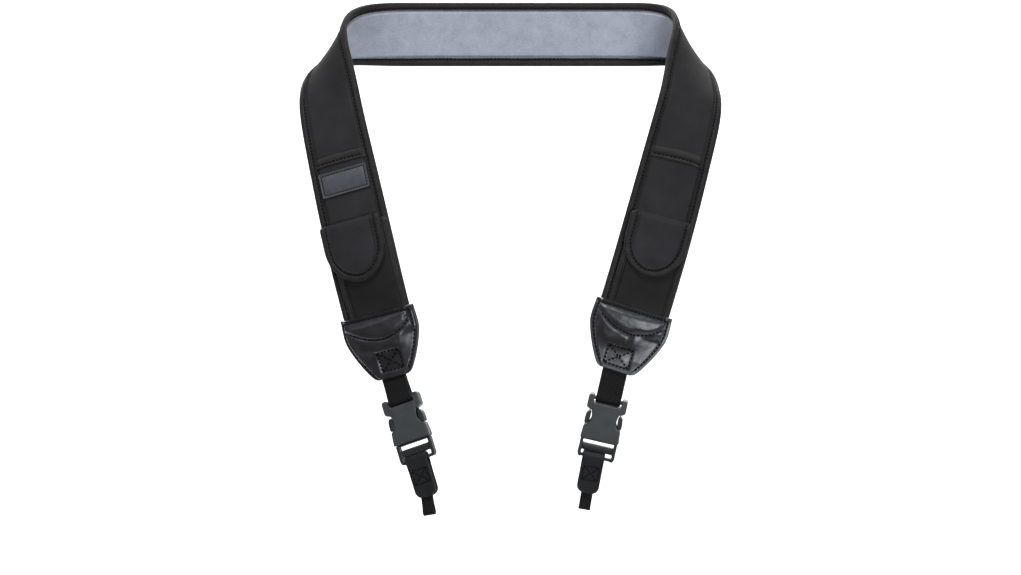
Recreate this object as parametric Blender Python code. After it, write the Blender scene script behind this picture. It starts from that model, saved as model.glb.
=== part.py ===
"""Camera neck strap: a padded neoprene band worn over the neck, with two front strips.

The middle of the band stands on edge behind the neck.  At each side it folds over and
hangs down as a front strip, which carries a flat slip pocket, a flap pocket and a
leather end patch.  From each patch hang a short webbing, a side-release buckle, a
leather tab and the narrow webbing for the camera's lug.

World axes: +X to the right as seen from the front, +Z up, the viewer looks along +Y.
The origin is the middle of the neck part, on the face of the lining.

Everything on the band is placed in strap coordinates, in millimetres:
s along the band from the middle of the neck part, w across it (positive towards the
outer edge), h above its middle surface (positive on the black outer side).
"""

import math

import bmesh
import bpy
from mathutils import Matrix, Vector

MM = 0.001
GAP = 0.35                    # clearance between neighbouring pieces

# ---------------------------------------------------------------- band, in millimetres
NECK_HALF_WIDTH = 26.0        # the band is 52 wide at the neck
STRIP_HALF_WIDTH = 28.0       # and 56 wide on the front strips
WIDENING = (200.0, 350.0)     # where it grows from one to the other
CORE_HALF = 2.0               # 4 mm neoprene
CORE_EDGE_HALF = 1.1          # pressed thin under the edge binding
LINING = 0.8
TAPE = 0.9                    # thickness of the binding tape
TAPE_COVER = 6.5              # how far the tape reaches over each face
NECK_LEAN = -2.5              # degrees, the neck part leans back a little
STEP_STRAIGHT = 16.0          # spacing of the sections where the band is straight
STEP_FOLD = 8.0               # and where it folds

# Bends of the band on each side, from the neck outwards.  A bend rolls the band by an
# angle about a fold line that makes the slant angle with its length: 90 bends it square
# across and 0 twists it.  Turn is a swing within the band's own plane.  Bends overlap.
#         name     start  length angle  slant turn
BENDS = {
    "left": (
        ("collar", 84.0, 102.0, 87.8, 90.0, 0.0),
        ("twist", 66.0, 160.0, 89.2, -1.7, 0.0),
        ("front", 133.0, 128.0, 42.8, 72.8, 0.0),
        ("drape", 264.0, 140.0, -6.0, 0.0, 2.2),
        ("lean", 264.0, 140.0, 13.6, 90.0, 0.0),
        ("settle", 372.0, 70.0, 0.0, 0.0, -1.3),
    ),
    "right": (
        ("collar", 88.0, 101.0, 98.6, 90.0, 0.0),
        ("twist", 79.0, 141.0, 83.3, 0.5, 0.0),
        ("front", 199.0, 72.0, 55.4, 64.3, 0.0),
        ("drape", 277.0, 140.0, 0.0, 0.0, -2.3),
        ("lean", 277.0, 140.0, -3.7, 90.0, 0.0),
        ("settle", 385.0, 70.0, 0.0, 0.0, -0.7),
    ),
}
FOLDED = {"left": (66.0, 261.0), "right": (79.0, 271.0)}   # where the sections lie close
HEM = {"left": 265.0, "right": 272.0}    # where the slip pocket's mouth lies
SIGN = {"left": -1.0, "right": 1.0}
SIDES = ("left", "right")

# ------------------------------------------------- layout of a front strip, below the hem
SLIP_END = 54.0
LABEL_TOP, LABEL_HEIGHT, LABEL_HALF = 9.5, 19.5, 19.7
FLAP_TOP = 50.5
FLAP_STRAIGHT = 20.8          # straight part of the flap's sides
FLAP_ROUND = 27.8             # depth of its rounded end
FLAP_HALF = 24.7
FLAP_SHIFT = {"left": 1.9, "right": 1.4}       # the flap sits off the band's middle
BAG_SHIFT = {"left": -2.5, "right": 2.5}       # and so does the bag
BAG_MOUTH = 56.0
BAG_END = 132.5
BAG_HALF = 23.7
EDGING_WIDTH = 3.7            # how far the bag's tape reaches over its face
BAG_FLATTENS = (99.0, 119.0)  # where the bag flattens towards the patch
BAG_SECTIONS = (77.0, 99.0, 105.0, 109.0, 113.0, 119.0)
BAND_END = 143.5
PATCH_END = 178.0
EDGE_END = 142.5

# -------------------------------------------------------- heights above the middle surface
SLIP_LOW = CORE_HALF + GAP
SLIP_HIGH = SLIP_LOW + 1.2
LABEL_LOW = SLIP_HIGH + GAP
LABEL_HIGH = LABEL_LOW + 1.2
BAG_BACK = 2.85               # underside of the bag's back wall, just above the binding
BAG_WALL = 1.2
BAG_BACK_WALL = 0.6
BAG_SIDE_HEIGHT = 6.8         # front face of the bag beside its edges
BAG_BULGE = 0.8
FLAP_LOW = 8.6
FLAP_THICK = 1.8

# ------------------------------------------------------------- chain below each end patch
CHAIN_SWING = {"left": -4.7, "right": -4.9}    # degrees in the patch's own plane
CHAIN_HINGE = {"left": -8.4, "right": 13.5}    # degrees to the back, at the patch's mouth
SOCKET_DROP = {"left": 16.4, "right": 21.5}    # from the patch to the top of the buckle
TAB_SWING = {"left": 0.0, "right": -2.0}      # the tab hangs askew on the buckle's bar
LUG_SWING = {"left": 9.0, "right": -1.0}
WEB_HALF = 10.0               # 20 mm webbing
WEB_THICK = 1.3
TAB_HALF = 8.9
TAB_SHIFT = -1.5              # the tab lies against one side of the plug's slot
TAB_THICK = 1.5
LUG_HALF = 4.75               # 9.5 mm webbing
LUG_THICK = 1.2

# Levels on the buckle, below the top of the socket's ears.
BAR_Z = -2.8                  # the socket's webbing bar
BAR_RADIUS = 1.6
UPPER_SLOT = (-40.7, -37.0)
LOWER_SLOT = (-49.6, -46.2)
BUCKLE_LOW = -52.1
END_BAR_Z = (LOWER_SLOT[0] + BUCKLE_LOW) / 2.0
END_BAR_HALF = LOWER_SLOT[0] - END_BAR_Z
END_BAR_DEPTH = 1.5
FRAME_HALF = 2.7              # half the thickness of the plug's frame
TAB_LOW = -81.0               # lower end of the tab

MATERIALS = {
    # name             colour, linear           roughness metallic
    "neoprene_jersey": ((0.018, 0.017, 0.020), 0.85, 0.0),
    "grip_fabric": ((0.200, 0.235, 0.300), 0.75, 0.0),
    "binding_tape": ((0.012, 0.011, 0.012), 0.70, 0.0),
    "label_rubber": ((0.035, 0.040, 0.055), 0.50, 0.0),
    "faux_leather": ((0.016, 0.015, 0.020), 0.35, 0.0),
    "nylon_webbing": ((0.012, 0.012, 0.013), 0.80, 0.0),
    "acetal": ((0.022, 0.025, 0.027), 0.45, 0.0),
    "tab_leather": ((0.020, 0.021, 0.023), 0.50, 0.0),
}


# ------------------------------------------------------------------------ scene helpers
def clear_scene():
    for old in list(bpy.data.objects):
        bpy.data.objects.remove(old, do_unlink=True)


def make_material(name):
    colour, roughness, metallic = MATERIALS[name]
    material = bpy.data.materials.new(name)
    material.use_nodes = True
    shader = material.node_tree.nodes["Principled BSDF"]
    shader.inputs["Base Color"].default_value = (*colour, 1.0)
    shader.inputs["Roughness"].default_value = roughness
    shader.inputs["Metallic"].default_value = metallic
    material.diffuse_color = (*colour, 1.0)
    return material


def smooth_shading(bm, sharp_degrees=35.0):
    """Shade smooth, but keep a hard line where two faces meet at a clear angle."""
    limit = math.radians(sharp_degrees)
    for face in bm.faces:
        face.smooth = True
    for edge in bm.edges:
        edge.smooth = edge.calc_face_angle(math.pi) < limit


def add_object(name, bm, material, matrix=None):
    """Turn a bmesh into a named object with outward faces and one material."""
    bmesh.ops.recalc_face_normals(bm, faces=bm.faces)
    smooth_shading(bm)
    mesh = bpy.data.meshes.new(name)
    bm.to_mesh(mesh)
    bm.free()
    obj = bpy.data.objects.new(name, mesh)
    bpy.context.collection.objects.link(obj)
    obj.data.materials.append(bpy.data.materials.get(material) or make_material(material))
    if matrix is not None:
        obj.matrix_world = matrix
    return obj


def skin_rows(bm, rows, across):
    """Join a row of equal closed rings with triangles, all cut along one diagonal.

    across holds the w of each ring point.  Pieces that lie on each other in the folded
    band keep their distance only if their faces are cut the same way.
    """
    for row, following in zip(rows, rows[1:]):
        for i in range(len(row)):
            j = (i + 1) % len(row)
            if across is None:
                bm.faces.new((row[i], row[j], following[j], following[i]))
            elif across[j] >= across[i]:
                bm.faces.new((row[i], row[j], following[j]))
                bm.faces.new((row[i], following[j], following[i]))
            else:
                bm.faces.new((row[i], row[j], following[i]))
                bm.faces.new((row[j], following[j], following[i]))


def loft_bmesh(rings, across=None):
    """Skin a row of equal closed rings and close both ends."""
    bm = bmesh.new()
    rows = [[bm.verts.new(point) for point in ring] for ring in rings]
    skin_rows(bm, rows, across)
    bm.faces.new(rows[0][::-1])
    bm.faces.new(rows[-1])
    return bm


def cup_bmesh(outer, inner):
    """Skin two rows of rings into a bag: open at the first rings, closed at the last."""
    bm = bmesh.new()
    mouths = []
    for rings in (outer, inner):
        rows = [[bm.verts.new(point) for point in ring] for ring in rings]
        skin_rows(bm, rows, None)
        bm.faces.new(rows[-1])
        mouths.append(rows[0])
    mouth_out, mouth_in = mouths
    for i in range(len(mouth_out)):
        j = (i + 1) % len(mouth_out)
        bm.faces.new((mouth_out[i], mouth_out[j], mouth_in[j], mouth_in[i]))
    return bm


def prism_bmesh(outline, low, high):
    """A plate: an outline in the local x-z plane between two y values."""
    return loft_bmesh([[Vector((x, y, z)) * MM for x, z in outline] for y in (low, high)])


def box_bmesh(x0, x1, y0, y1, z0, z1):
    return prism_bmesh(((x0, z0), (x1, z0), (x1, z1), (x0, z1)), y0, y1)


def combine(target, operand_bmesh, operation):
    """Join a shape to an object, or cut it out, and remove the helper."""
    helper = add_object("helper", operand_bmesh, "acetal", target.matrix_world)
    modifier = target.modifiers.new(operation.lower(), "BOOLEAN")
    modifier.operation = operation
    modifier.solver = "EXACT"
    modifier.object = helper
    bpy.context.view_layer.update()
    shape = bpy.data.meshes.new_from_object(
        target.evaluated_get(bpy.context.evaluated_depsgraph_get()))
    target.modifiers.remove(modifier)
    target.data = shape
    bpy.data.objects.remove(helper, do_unlink=True)


# ------------------------------------------------------------------- course of the band
def ease(t):
    """Share of a bend turned per unit of its length: nothing at its ends, most midway."""
    return 6.0 * t * (1.0 - t) if 0.0 < t < 1.0 else 0.0


def walk_band(side, length, step=1.0):
    """Follow the band outwards and note its place and directions after every step.

    A row holds the place, the direction along the band, across it and out of its face.
    The rows are those of the right side; the left side is the mirror image of its own.
    """
    lean = math.radians(NECK_LEAN)
    along = Vector((1.0, 0.0, 0.0))
    across = Vector((0.0, -math.sin(lean), -math.cos(lean)))
    place = Vector((0.0, CORE_HALF + GAP + LINING, 0.0))
    rows = [(place.copy(), along.copy(), across.copy(), along.cross(across))]
    for i in range(int(length / step)):
        s = (i + 0.5) * step
        face = along.cross(across)
        spin = Vector((0.0, 0.0, 0.0))
        for _name, start, reach, angle, slant, turn in BENDS[side]:
            rate = math.radians(1.0) * ease((s - start) / reach) / reach
            fold_line = along * math.cos(math.radians(slant))
            fold_line += across * math.sin(math.radians(slant))
            spin += fold_line * angle * rate + face * turn * rate
        rotation = Matrix.Rotation(spin.length * step, 3, spin) if spin.length else None
        ahead = (rotation @ along).normalized() if rotation else along.copy()
        if rotation:
            across = rotation @ across
            across = (across - ahead * across.dot(ahead)).normalized()
        place = place + (along + ahead) * 0.5 * step
        along = ahead
        rows.append((place.copy(), along.copy(), across.copy(), along.cross(across)))
    return rows


COURSE = {side: walk_band(side, HEM[side] + 200.0) for side in SIDES}


def section_places(side):
    """Where the band has its sections: close together in the fold, wide apart elsewhere."""
    fold_start, fold_end = FOLDED[side]
    places = [0.0]
    while places[-1] < HEM[side] + BAND_END - 1.0:
        folding = fold_start - STEP_STRAIGHT < places[-1] < fold_end
        places.append(places[-1] + (STEP_FOLD if folding else STEP_STRAIGHT))
    places[-1] = HEM[side] + BAND_END
    return places


SECTIONS = {side: section_places(side) for side in SIDES}


def course_point(side, s, w, h):
    place, _along, across, face = COURSE[side][int(round(s))]
    point = place + across * w + face * h
    return Vector((point.x * SIGN[side], point.y, point.z)) * MM


def strap_point(side, s, w, h):
    """World position of a strap coordinate, on the facets between the band's sections."""
    places = SECTIONS[side]
    s = max(0.0, s)
    i = max(k for k in range(len(places) - 1) if places[k] <= s or k == 0)
    t = (s - places[i]) / (places[i + 1] - places[i])
    return course_point(side, places[i], w, h).lerp(course_point(side, places[i + 1], w, h), t)


def half_width(s):
    t = min(1.0, max(0.0, (s - WIDENING[0]) / (WIDENING[1] - WIDENING[0])))
    return NECK_HALF_WIDTH + (STRIP_HALF_WIDTH - NECK_HALF_WIDTH) * t * t * (3.0 - 2.0 * t)


def sweep_over_neck(section, end):
    """Skin a section that runs from one strip over the neck to the other."""
    rings = []
    for side in SIDES:
        places = [s for s in SECTIONS[side] if 0.0 < s < HEM[side] + end - 1.0]
        places.append(HEM[side] + end)
        part = [[strap_point(side, s, w, h) for w, h in section(half_width(s))] for s in places]
        rings.append(part)
    middle = [strap_point("right", 0.0, w, h) for w, h in section(half_width(0.0))]
    across = [w for w, _h in section(half_width(0.0))]
    return loft_bmesh(rings[0][::-1] + [middle] + rings[1], across)


def sweep_on_strip(side, start, end, section):
    """Skin a section along a front strip, between two distances below the hem."""
    first, last = HEM[side] + start, HEM[side] + end
    places = [first] + [s for s in SECTIONS[side] if first + 1.0 < s < last - 1.0] + [last]
    if side == "left":
        places.reverse()
    rings = [[strap_point(side, s, w, h) for w, h in section(s)] for s in places]
    return loft_bmesh(rings, [w for w, _h in section(first)])


# ------------------------------------------------------------------- pieces of the band
def taper_at(w, hw):
    """How far the band's face lies below its full height at w: it thins at the edges."""
    t = min(1.0, max(0.0, (abs(w) - (hw - 9.5)) / 2.7))
    return (CORE_HALF - CORE_EDGE_HALF) * t


def build_band():
    def section(hw):
        edge, inner, full = hw - TAPE - GAP, hw - 6.8, hw - 9.5
        top = [(-edge, CORE_EDGE_HALF), (-inner, CORE_EDGE_HALF), (-full, CORE_HALF),
               (full, CORE_HALF), (inner, CORE_EDGE_HALF), (edge, CORE_EDGE_HALF)]
        return top + [(w, -h) for w, h in reversed(top)]
    add_object("neoprene_band", sweep_over_neck(section, BAND_END), "neoprene_jersey")


def build_lining():
    def section(hw):
        edge, full = hw - 7.0, hw - 9.7
        near = [(-edge, -CORE_EDGE_HALF - GAP), (-full, -CORE_HALF - GAP),
                (full, -CORE_HALF - GAP), (edge, -CORE_EDGE_HALF - GAP)]
        return near + [(w, h - LINING) for w, h in reversed(near)]
    add_object("grip_lining", sweep_over_neck(section, EDGE_END), "grip_fabric")


def build_edge_bindings():
    inside = CORE_EDGE_HALF + GAP
    outside = inside + TAPE
    for name, edge_sign in (("edge_binding_outer", 1.0), ("edge_binding_inner", -1.0)):
        def section(hw):
            outer = [(hw - TAPE_COVER, outside), (hw - 0.5, outside), (hw, outside - 0.6)]
            inner = [(hw - TAPE, inside), (hw - TAPE_COVER, inside)]
            upper = outer + [(w, -h) for w, h in reversed(outer)]
            under = [(w, -h) for w, h in reversed(inner)] + inner
            return [(edge_sign * w, h) for w, h in upper + under]
        add_object(name, sweep_over_neck(section, EDGE_END), "binding_tape")


# --------------------------------------------------------------------- flat slip pocket
def build_slip_pocket(side):
    def section(s):
        hw = half_width(s)
        edge, full = hw - 7.0, hw - 9.7
        stops = (-edge, -full, full, edge)
        low = [(w, SLIP_LOW - taper_at(w, hw)) for w in stops]
        return low + [(w, SLIP_HIGH - taper_at(w, hw)) for w in reversed(stops)]
    add_object("slip_pocket_" + side, sweep_on_strip(side, 0.0, SLIP_END, section),
               "neoprene_jersey")


def build_pocket_hem(side):
    """A tape folded over the pocket's mouth, bent down at both ends with the band."""
    s0 = HEM[side]
    hw = half_width(s0)
    edge, full = hw - 7.0, hw - 9.7
    back, front = SLIP_LOW, SLIP_HIGH + GAP
    section = ((-GAP - TAPE, back), (-GAP, back), (-GAP, front), (5.2, front),
               (5.2, front + TAPE), (-0.4, front + TAPE), (-GAP - TAPE, front + 0.3))
    rings = []
    for w in (-edge, -full, 0.0, full, edge):
        drop = taper_at(w, hw)
        rings.append([strap_point(side, s0 + ds, w, h - drop) for ds, h in section])
    add_object("pocket_hem_" + side, loft_bmesh(rings), "binding_tape")


def build_label_patch():
    """A plain rubber patch with rounded corners, sewn on below the left hem."""
    side = "left"
    corner = 1.5
    middle = HEM[side] + LABEL_TOP + LABEL_HEIGHT / 2.0
    outline = []
    for quarter in range(4):
        cs = (LABEL_HEIGHT / 2.0 - corner) * (1.0 if quarter in (0, 3) else -1.0)
        cw = (LABEL_HALF - corner) * (1.0 if quarter < 2 else -1.0)
        for k in range(4):
            angle = math.radians(90.0 * quarter + 30.0 * k)
            outline.append((middle + cs + corner * math.cos(angle),
                            cw + corner * math.sin(angle)))
    rings = []
    for level in (LABEL_LOW, LABEL_HIGH):
        rings.append([strap_point(side, s, w, level) for s, w in outline])
    add_object("label_patch", loft_bmesh(rings), "label_rubber")


# ------------------------------------------------------------------------- flap pocket
def bag_height(below_hem):
    """Height of the bag's front face beside its edges: it flattens towards the patch."""
    start, end = BAG_FLATTENS
    t = min(1.0, max(0.0, (below_hem - start) / (end - start)))
    return BAG_SIDE_HEIGHT + (4.4 - BAG_SIDE_HEIGHT) * t * t * (3.0 - 2.0 * t)


def bag_face(w, below_hem):
    top = bag_height(below_hem)
    bulge = BAG_BULGE * (top - 3.6) / (BAG_SIDE_HEIGHT - 3.6)
    return top + bulge * (1.0 - (w / BAG_HALF) ** 2)


def build_flap_pocket(side):
    shift = BAG_SHIFT[side]

    def rings(start, end, wall):
        result = []
        for d in (start, *BAG_SECTIONS, end):
            s = HEM[side] + d
            a = BAG_HALF - wall
            low = BAG_BACK + (BAG_BACK_WALL if wall else 0.0)
            b = a - EDGING_WIDTH
            stops = (a, a - 1.0, b, a * 0.5, 0.0, -a * 0.5, -b, -a + 1.0, -a)
            top = [(w, bag_face(w, d) - wall) for w in stops]
            top[0] = (a, max(low + 0.2, top[0][1] - 0.8))
            top[-1] = (-a, max(low + 0.2, top[-1][1] - 0.8))
            result.append([strap_point(side, s, w + shift, h) for w, h in
                           [(-a, low), (a, low)] + top])
        return result
    bag = cup_bmesh(rings(BAG_MOUTH, BAG_END, 0.0), rings(BAG_MOUTH, BAG_END - 6.0, BAG_WALL))
    add_object("flap_pocket_" + side, bag, "neoprene_jersey")


def build_pocket_edging(side, edge_name, edge_sign):
    """The tape that binds one long edge of the bag's front: an L over face and side."""
    rings = []
    for d in (BAG_MOUTH, *BAG_SECTIONS, BAG_END - 1.0):
        s = HEM[side] + d
        face = bag_face(BAG_HALF - 1.0, d) + GAP
        inner = bag_face(BAG_HALF - EDGING_WIDTH, d) + GAP
        out = BAG_HALF + GAP + 0.7
        section = ((BAG_HALF - EDGING_WIDTH, inner), (BAG_HALF - EDGING_WIDTH, inner + 0.7),
                   (BAG_HALF - 0.4, face + 0.7), (out, face - 0.1), (out, face - 1.7),
                   (BAG_HALF + GAP, face - 1.7), (BAG_HALF + GAP, face - 0.6),
                   (BAG_HALF - 0.6, face + 0.1))
        rings.append([strap_point(side, s, BAG_SHIFT[side] + edge_sign * w, h)
                      for w, h in section])
    add_object("pocket_edging_%s_%s" % (edge_name, side), loft_bmesh(rings), "binding_tape")


def flap_half(d, inset):
    """Half-width of the flap at a distance below its top edge."""
    depth = FLAP_ROUND - inset
    t = (d - FLAP_STRAIGHT) / depth
    if t <= 0.0:
        return FLAP_HALF - inset
    return (FLAP_HALF - inset) * math.sqrt(max(0.0, 1.0 - t * t))


def build_pocket_flap(side):
    """A thick rounded flap: it rises from the slip pocket and lies over the bag."""
    inset = 1.4
    depth = FLAP_ROUND - inset
    downs = [0.0, 1.5, 3.5, FLAP_STRAIGHT]
    downs += [FLAP_STRAIGHT + depth * math.sin(math.radians(a)) for a in
              (20.0, 38.0, 54.0, 68.0, 79.0, 86.0)]
    rings = []
    for d in downs:
        s = HEM[side] + FLAP_TOP + d
        rise = min(1.0, d / 3.5)
        rise = rise * rise * (3.0 - 2.0 * rise)
        low = SLIP_HIGH + GAP + (FLAP_LOW - SLIP_HIGH - GAP) * rise
        high = low + FLAP_THICK + 2.2 * (1.0 - rise)
        a = flap_half(d, inset)
        if d == 0.0:
            high -= 2.6
        rings.append([strap_point(side, s, w + FLAP_SHIFT[side], h) for w, h in
                      ((-a, low), (a, low), (a, high - 0.2), (a * 0.9, high),
                       (-a * 0.9, high), (-a, high - 0.2))])
    add_object("pocket_flap_" + side, loft_bmesh(rings), "neoprene_jersey")


def build_flap_binding(side):
    """The tape round the flap's two sides and rounded end."""
    steps = 10
    top = HEM[side] + FLAP_TOP
    outline = [(3.8, FLAP_HALF, 0.0)]
    for k in range(steps + 1):
        angle = math.pi * k / steps
        outline.append((FLAP_STRAIGHT + FLAP_ROUND * math.sin(angle),
                        FLAP_HALF * math.cos(angle), angle))
    outline += [(3.8, -FLAP_HALF, math.pi)]
    face = FLAP_LOW + FLAP_THICK + GAP
    section = ((0.0, FLAP_LOW), (0.0, face + 0.3), (-0.5, face + 0.7), (-5.5, face + 0.7),
               (-5.5, face), (-0.85, face), (-0.85, FLAP_LOW))
    rings = []
    for d, w, angle in outline:
        normal_s, normal_w = math.sin(angle), math.cos(angle)
        rings.append([strap_point(side, top + d + normal_s * out,
                                  FLAP_SHIFT[side] + w + normal_w * out, h)
                      for out, h in section])
    add_object("flap_binding_" + side, loft_bmesh(rings), "binding_tape")


# -------------------------------------------------------------------------- end patches
# Sections of the end patch below the hem: half-width, room inside at the front, and at
# the back of the band.
#        below  half  front back
PATCH = (
    (125.5, 30.9, 6.0, 3.6),
    (132.5, 31.4, 6.0, 3.6),
    (139.0, 31.7, 4.4, 3.6),
    (145.0, 31.2, 3.4, 3.4),
    (151.0, 29.2, 2.6, 2.6),
    (158.0, 26.4, 2.2, 2.2),
    (165.0, 22.9, 1.9, 1.9),
    (171.0, 19.5, 1.9, 1.9),
    (175.5, 16.2, 1.9, 1.9),
    (178.0, 13.0, 1.9, 1.9),
)
PATCH_THICK = 1.4
PATCH_RIM = 2.6


def build_end_patch(side, face_name, face_sign):
    rings = []
    for below, half, front, back in PATCH:
        room = front if face_sign > 0.0 else back
        k = half - PATCH_RIM
        low = GAP / 2.0
        outer = [(-half, low), (-half, low + PATCH_THICK), (-k - 1.5, low + PATCH_THICK),
                 (-k, room + PATCH_THICK), (-k * 0.5, room + PATCH_THICK + 0.6),
                 (k * 0.5, room + PATCH_THICK + 0.6), (k, room + PATCH_THICK),
                 (k + 1.5, low + PATCH_THICK), (half, low + PATCH_THICK), (half, low)]
        inner = [(k + 0.2, low), (k + 0.1, room), (-k - 0.1, room), (-k - 0.2, low)]
        rings.append([beyond_band(side, HEM[side] + below, w, face_sign * h)
                      for w, h in outer + inner])
    add_object("end_patch_%s_%s" % (face_name, side), loft_bmesh(rings), "faux_leather")


def beyond_band(side, s, w, h):
    """World position of a strap coordinate at or beyond the end of the band."""
    whole = int(s)
    first = course_point(side, whole, w, h)
    return first.lerp(course_point(side, whole + 1, w, h), s - whole)


# ------------------------------------------------------------------ chain to the camera
def chain_matrix(side):
    """Frame at the top of the buckle: x to the right, y to the back, z up the strap."""
    s = HEM[side] + PATCH_END
    origin = beyond_band(side, s, 0.0, 0.0)
    _place, along, _across, face = COURSE[side][int(s)]
    mirror = SIGN[side]
    up = Vector((-along.x * mirror, -along.y, -along.z)).normalized()
    back = Vector((-face.x * mirror, -face.y, -face.z)).normalized()
    right = back.cross(up)
    mouth = Matrix(((right.x, back.x, up.x, origin.x), (right.y, back.y, up.y, origin.y),
                    (right.z, back.z, up.z, origin.z), (0.0, 0.0, 0.0, 1.0)))
    swing = Matrix.Rotation(math.radians(CHAIN_SWING[side]), 4, "Y")
    hinge = Matrix.Rotation(math.radians(CHAIN_HINGE[side]), 4, "X")
    return mouth @ swing @ hinge @ Matrix.Translation((0.0, 0.0, -SOCKET_DROP[side] * MM))


def swung(matrix, level, degrees):
    """The same frame, swung in its own plane about a point at a level below its origin."""
    pivot = Matrix.Translation((0.0, 0.0, level * MM))
    turn = Matrix.Rotation(math.radians(degrees), 4, "Y")
    return matrix @ pivot @ turn @ pivot.inverted()


def strip_bmesh(path, thickness, x0, x1):
    """A flat strip of constant width whose middle line follows (y, z) points."""
    left, right = [], []
    for i, (y, z) in enumerate(path):
        ahead = path[min(i + 1, len(path) - 1)]
        behind = path[max(i - 1, 0)]
        dy, dz = ahead[0] - behind[0], ahead[1] - behind[1]
        length = math.hypot(dy, dz)
        ny, nz = -dz / length * thickness / 2.0, dy / length * thickness / 2.0
        left.append((y + ny, z + nz))
        right.append((y - ny, z - nz))
    outline = left + right[::-1]
    return loft_bmesh([[Vector((x, y, z)) * MM for y, z in outline] for x in (x0, x1)])


def arc(cy, cz, radius, start, end, steps):
    """Points of an arc in the y-z plane; 0 degrees points to +y, 90 to +z."""
    return [(cy + radius * math.cos(math.radians(start + (end - start) * k / steps)),
             cz + radius * math.sin(math.radians(start + (end - start) * k / steps)))
            for k in range(steps + 1)]


def build_upper_webbing(side, matrix):
    """20 mm webbing: down in front, round the bar of the socket and up again behind.

    Inside the patch it keeps the patch's direction; it hinges at the patch's mouth.
    """
    mouth = SOCKET_DROP[side]
    radius = BAR_RADIUS + GAP + WEB_THICK / 2.0
    close = WEB_THICK / 2.0 + GAP / 2.0
    hinge = math.radians(CHAIN_HINGE[side])

    def within(y, z):
        """A point inside the patch, given in the patch's own direction."""
        return (y * math.cos(hinge) + z * math.sin(hinge),
                mouth - y * math.sin(hinge) + z * math.cos(hinge))

    path = [within(-close, 20.0), within(-close, 0.2), (-close, mouth - 3.5)]
    path += [(-(close + radius) / 2.0, 4.0)]
    path += arc(0.0, BAR_Z, radius, 180.0, 360.0, 8)
    path += [((close + radius) / 2.0, 4.0), (close, mouth - 3.5), within(close, 0.2),
             within(close, 20.0)]
    add_object("upper_webbing_" + side, strip_bmesh(path, WEB_THICK, -WEB_HALF, WEB_HALF),
               "nylon_webbing", matrix)


def build_buckle_socket(side, matrix):
    """Receiving half of the side-release buckle: ears with a bar, a hollow body."""
    half = ((-15.7, -1.8), (-15.7, -10.2), (-12.4, -12.2), (-10.9, -14.2), (-10.3, -18.4),
            (-11.2, -22.6), (-14.4, -25.4), (-15.6, -36.0))
    ear = ((-11.0, -6.4), (-11.0, 0.0), (-13.9, 0.0))
    outline = list(ear + half) + [(-x, z) for x, z in reversed(ear + half)]
    socket = add_object("buckle_socket_" + side, prism_bmesh(outline, -4.4, 4.4), "acetal",
                        matrix)
    ring = arc(0.0, BAR_Z, BAR_RADIUS, 0.0, 330.0, 11)
    bar = [[Vector((x, y, z)) * MM for y, z in ring] for x in (-12.5, 12.5)]
    combine(socket, loft_bmesh(bar), "UNION")
    combine(socket, box_bmesh(-14.3, 14.3, -2.8, 2.8, -40.0, -32.6), "DIFFERENCE")
    combine(socket, box_bmesh(-12.9, 12.9, -2.8, 2.8, -34.0, -25.6), "DIFFERENCE")
    combine(socket, box_bmesh(-8.4, 8.4, -2.8, 2.8, -30.0, -10.4), "DIFFERENCE")
    combine(socket, box_bmesh(-20.0, 20.0, -2.8, 2.8, -25.8, -13.2), "DIFFERENCE")


def build_buckle_plug(side, matrix):
    """Plug half: two sprung arms and a guide, a ladder bar and an end bar."""
    frame = ((-14.9, -36.4), (-15.0, BUCKLE_LOW + 3.4), (-13.2, BUCKLE_LOW),
             (13.2, BUCKLE_LOW), (15.0, BUCKLE_LOW + 3.4), (14.9, -36.4))
    plug = add_object("buckle_plug_" + side, prism_bmesh(frame, -FRAME_HALF, FRAME_HALF), "acetal",
                      matrix)
    combine(plug, box_bmesh(-13.9, 13.9, -2.4, 2.4, -38.0, -33.0), "UNION")
    for low, high in (UPPER_SLOT, LOWER_SLOT):
        combine(plug, box_bmesh(-12.3, 12.3, -6.0, 6.0, low, high), "DIFFERENCE")
    for mirror in (1.0, -1.0):
        face = sorted((mirror * END_BAR_DEPTH, mirror * 6.0))
        combine(plug, box_bmesh(-12.3, 12.3, *face, -60.0, LOWER_SLOT[1] - 0.5), "DIFFERENCE")
    arm = ((-12.3, -34.0), (-12.3, -25.4), (-14.9, -24.6), (-14.9, -18.6), (-12.9, -13.9),
           (-11.0, -15.0), (-10.3, -18.4), (-10.3, -28.0), (-9.9, -34.0))
    for mirror in (1.0, -1.0):
        combine(plug, prism_bmesh([(x * mirror, z) for x, z in arm], -2.4, 2.4), "UNION")
    combine(plug, box_bmesh(-3.0, 3.0, -2.0, 2.0, -34.0, -13.4), "UNION")


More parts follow.
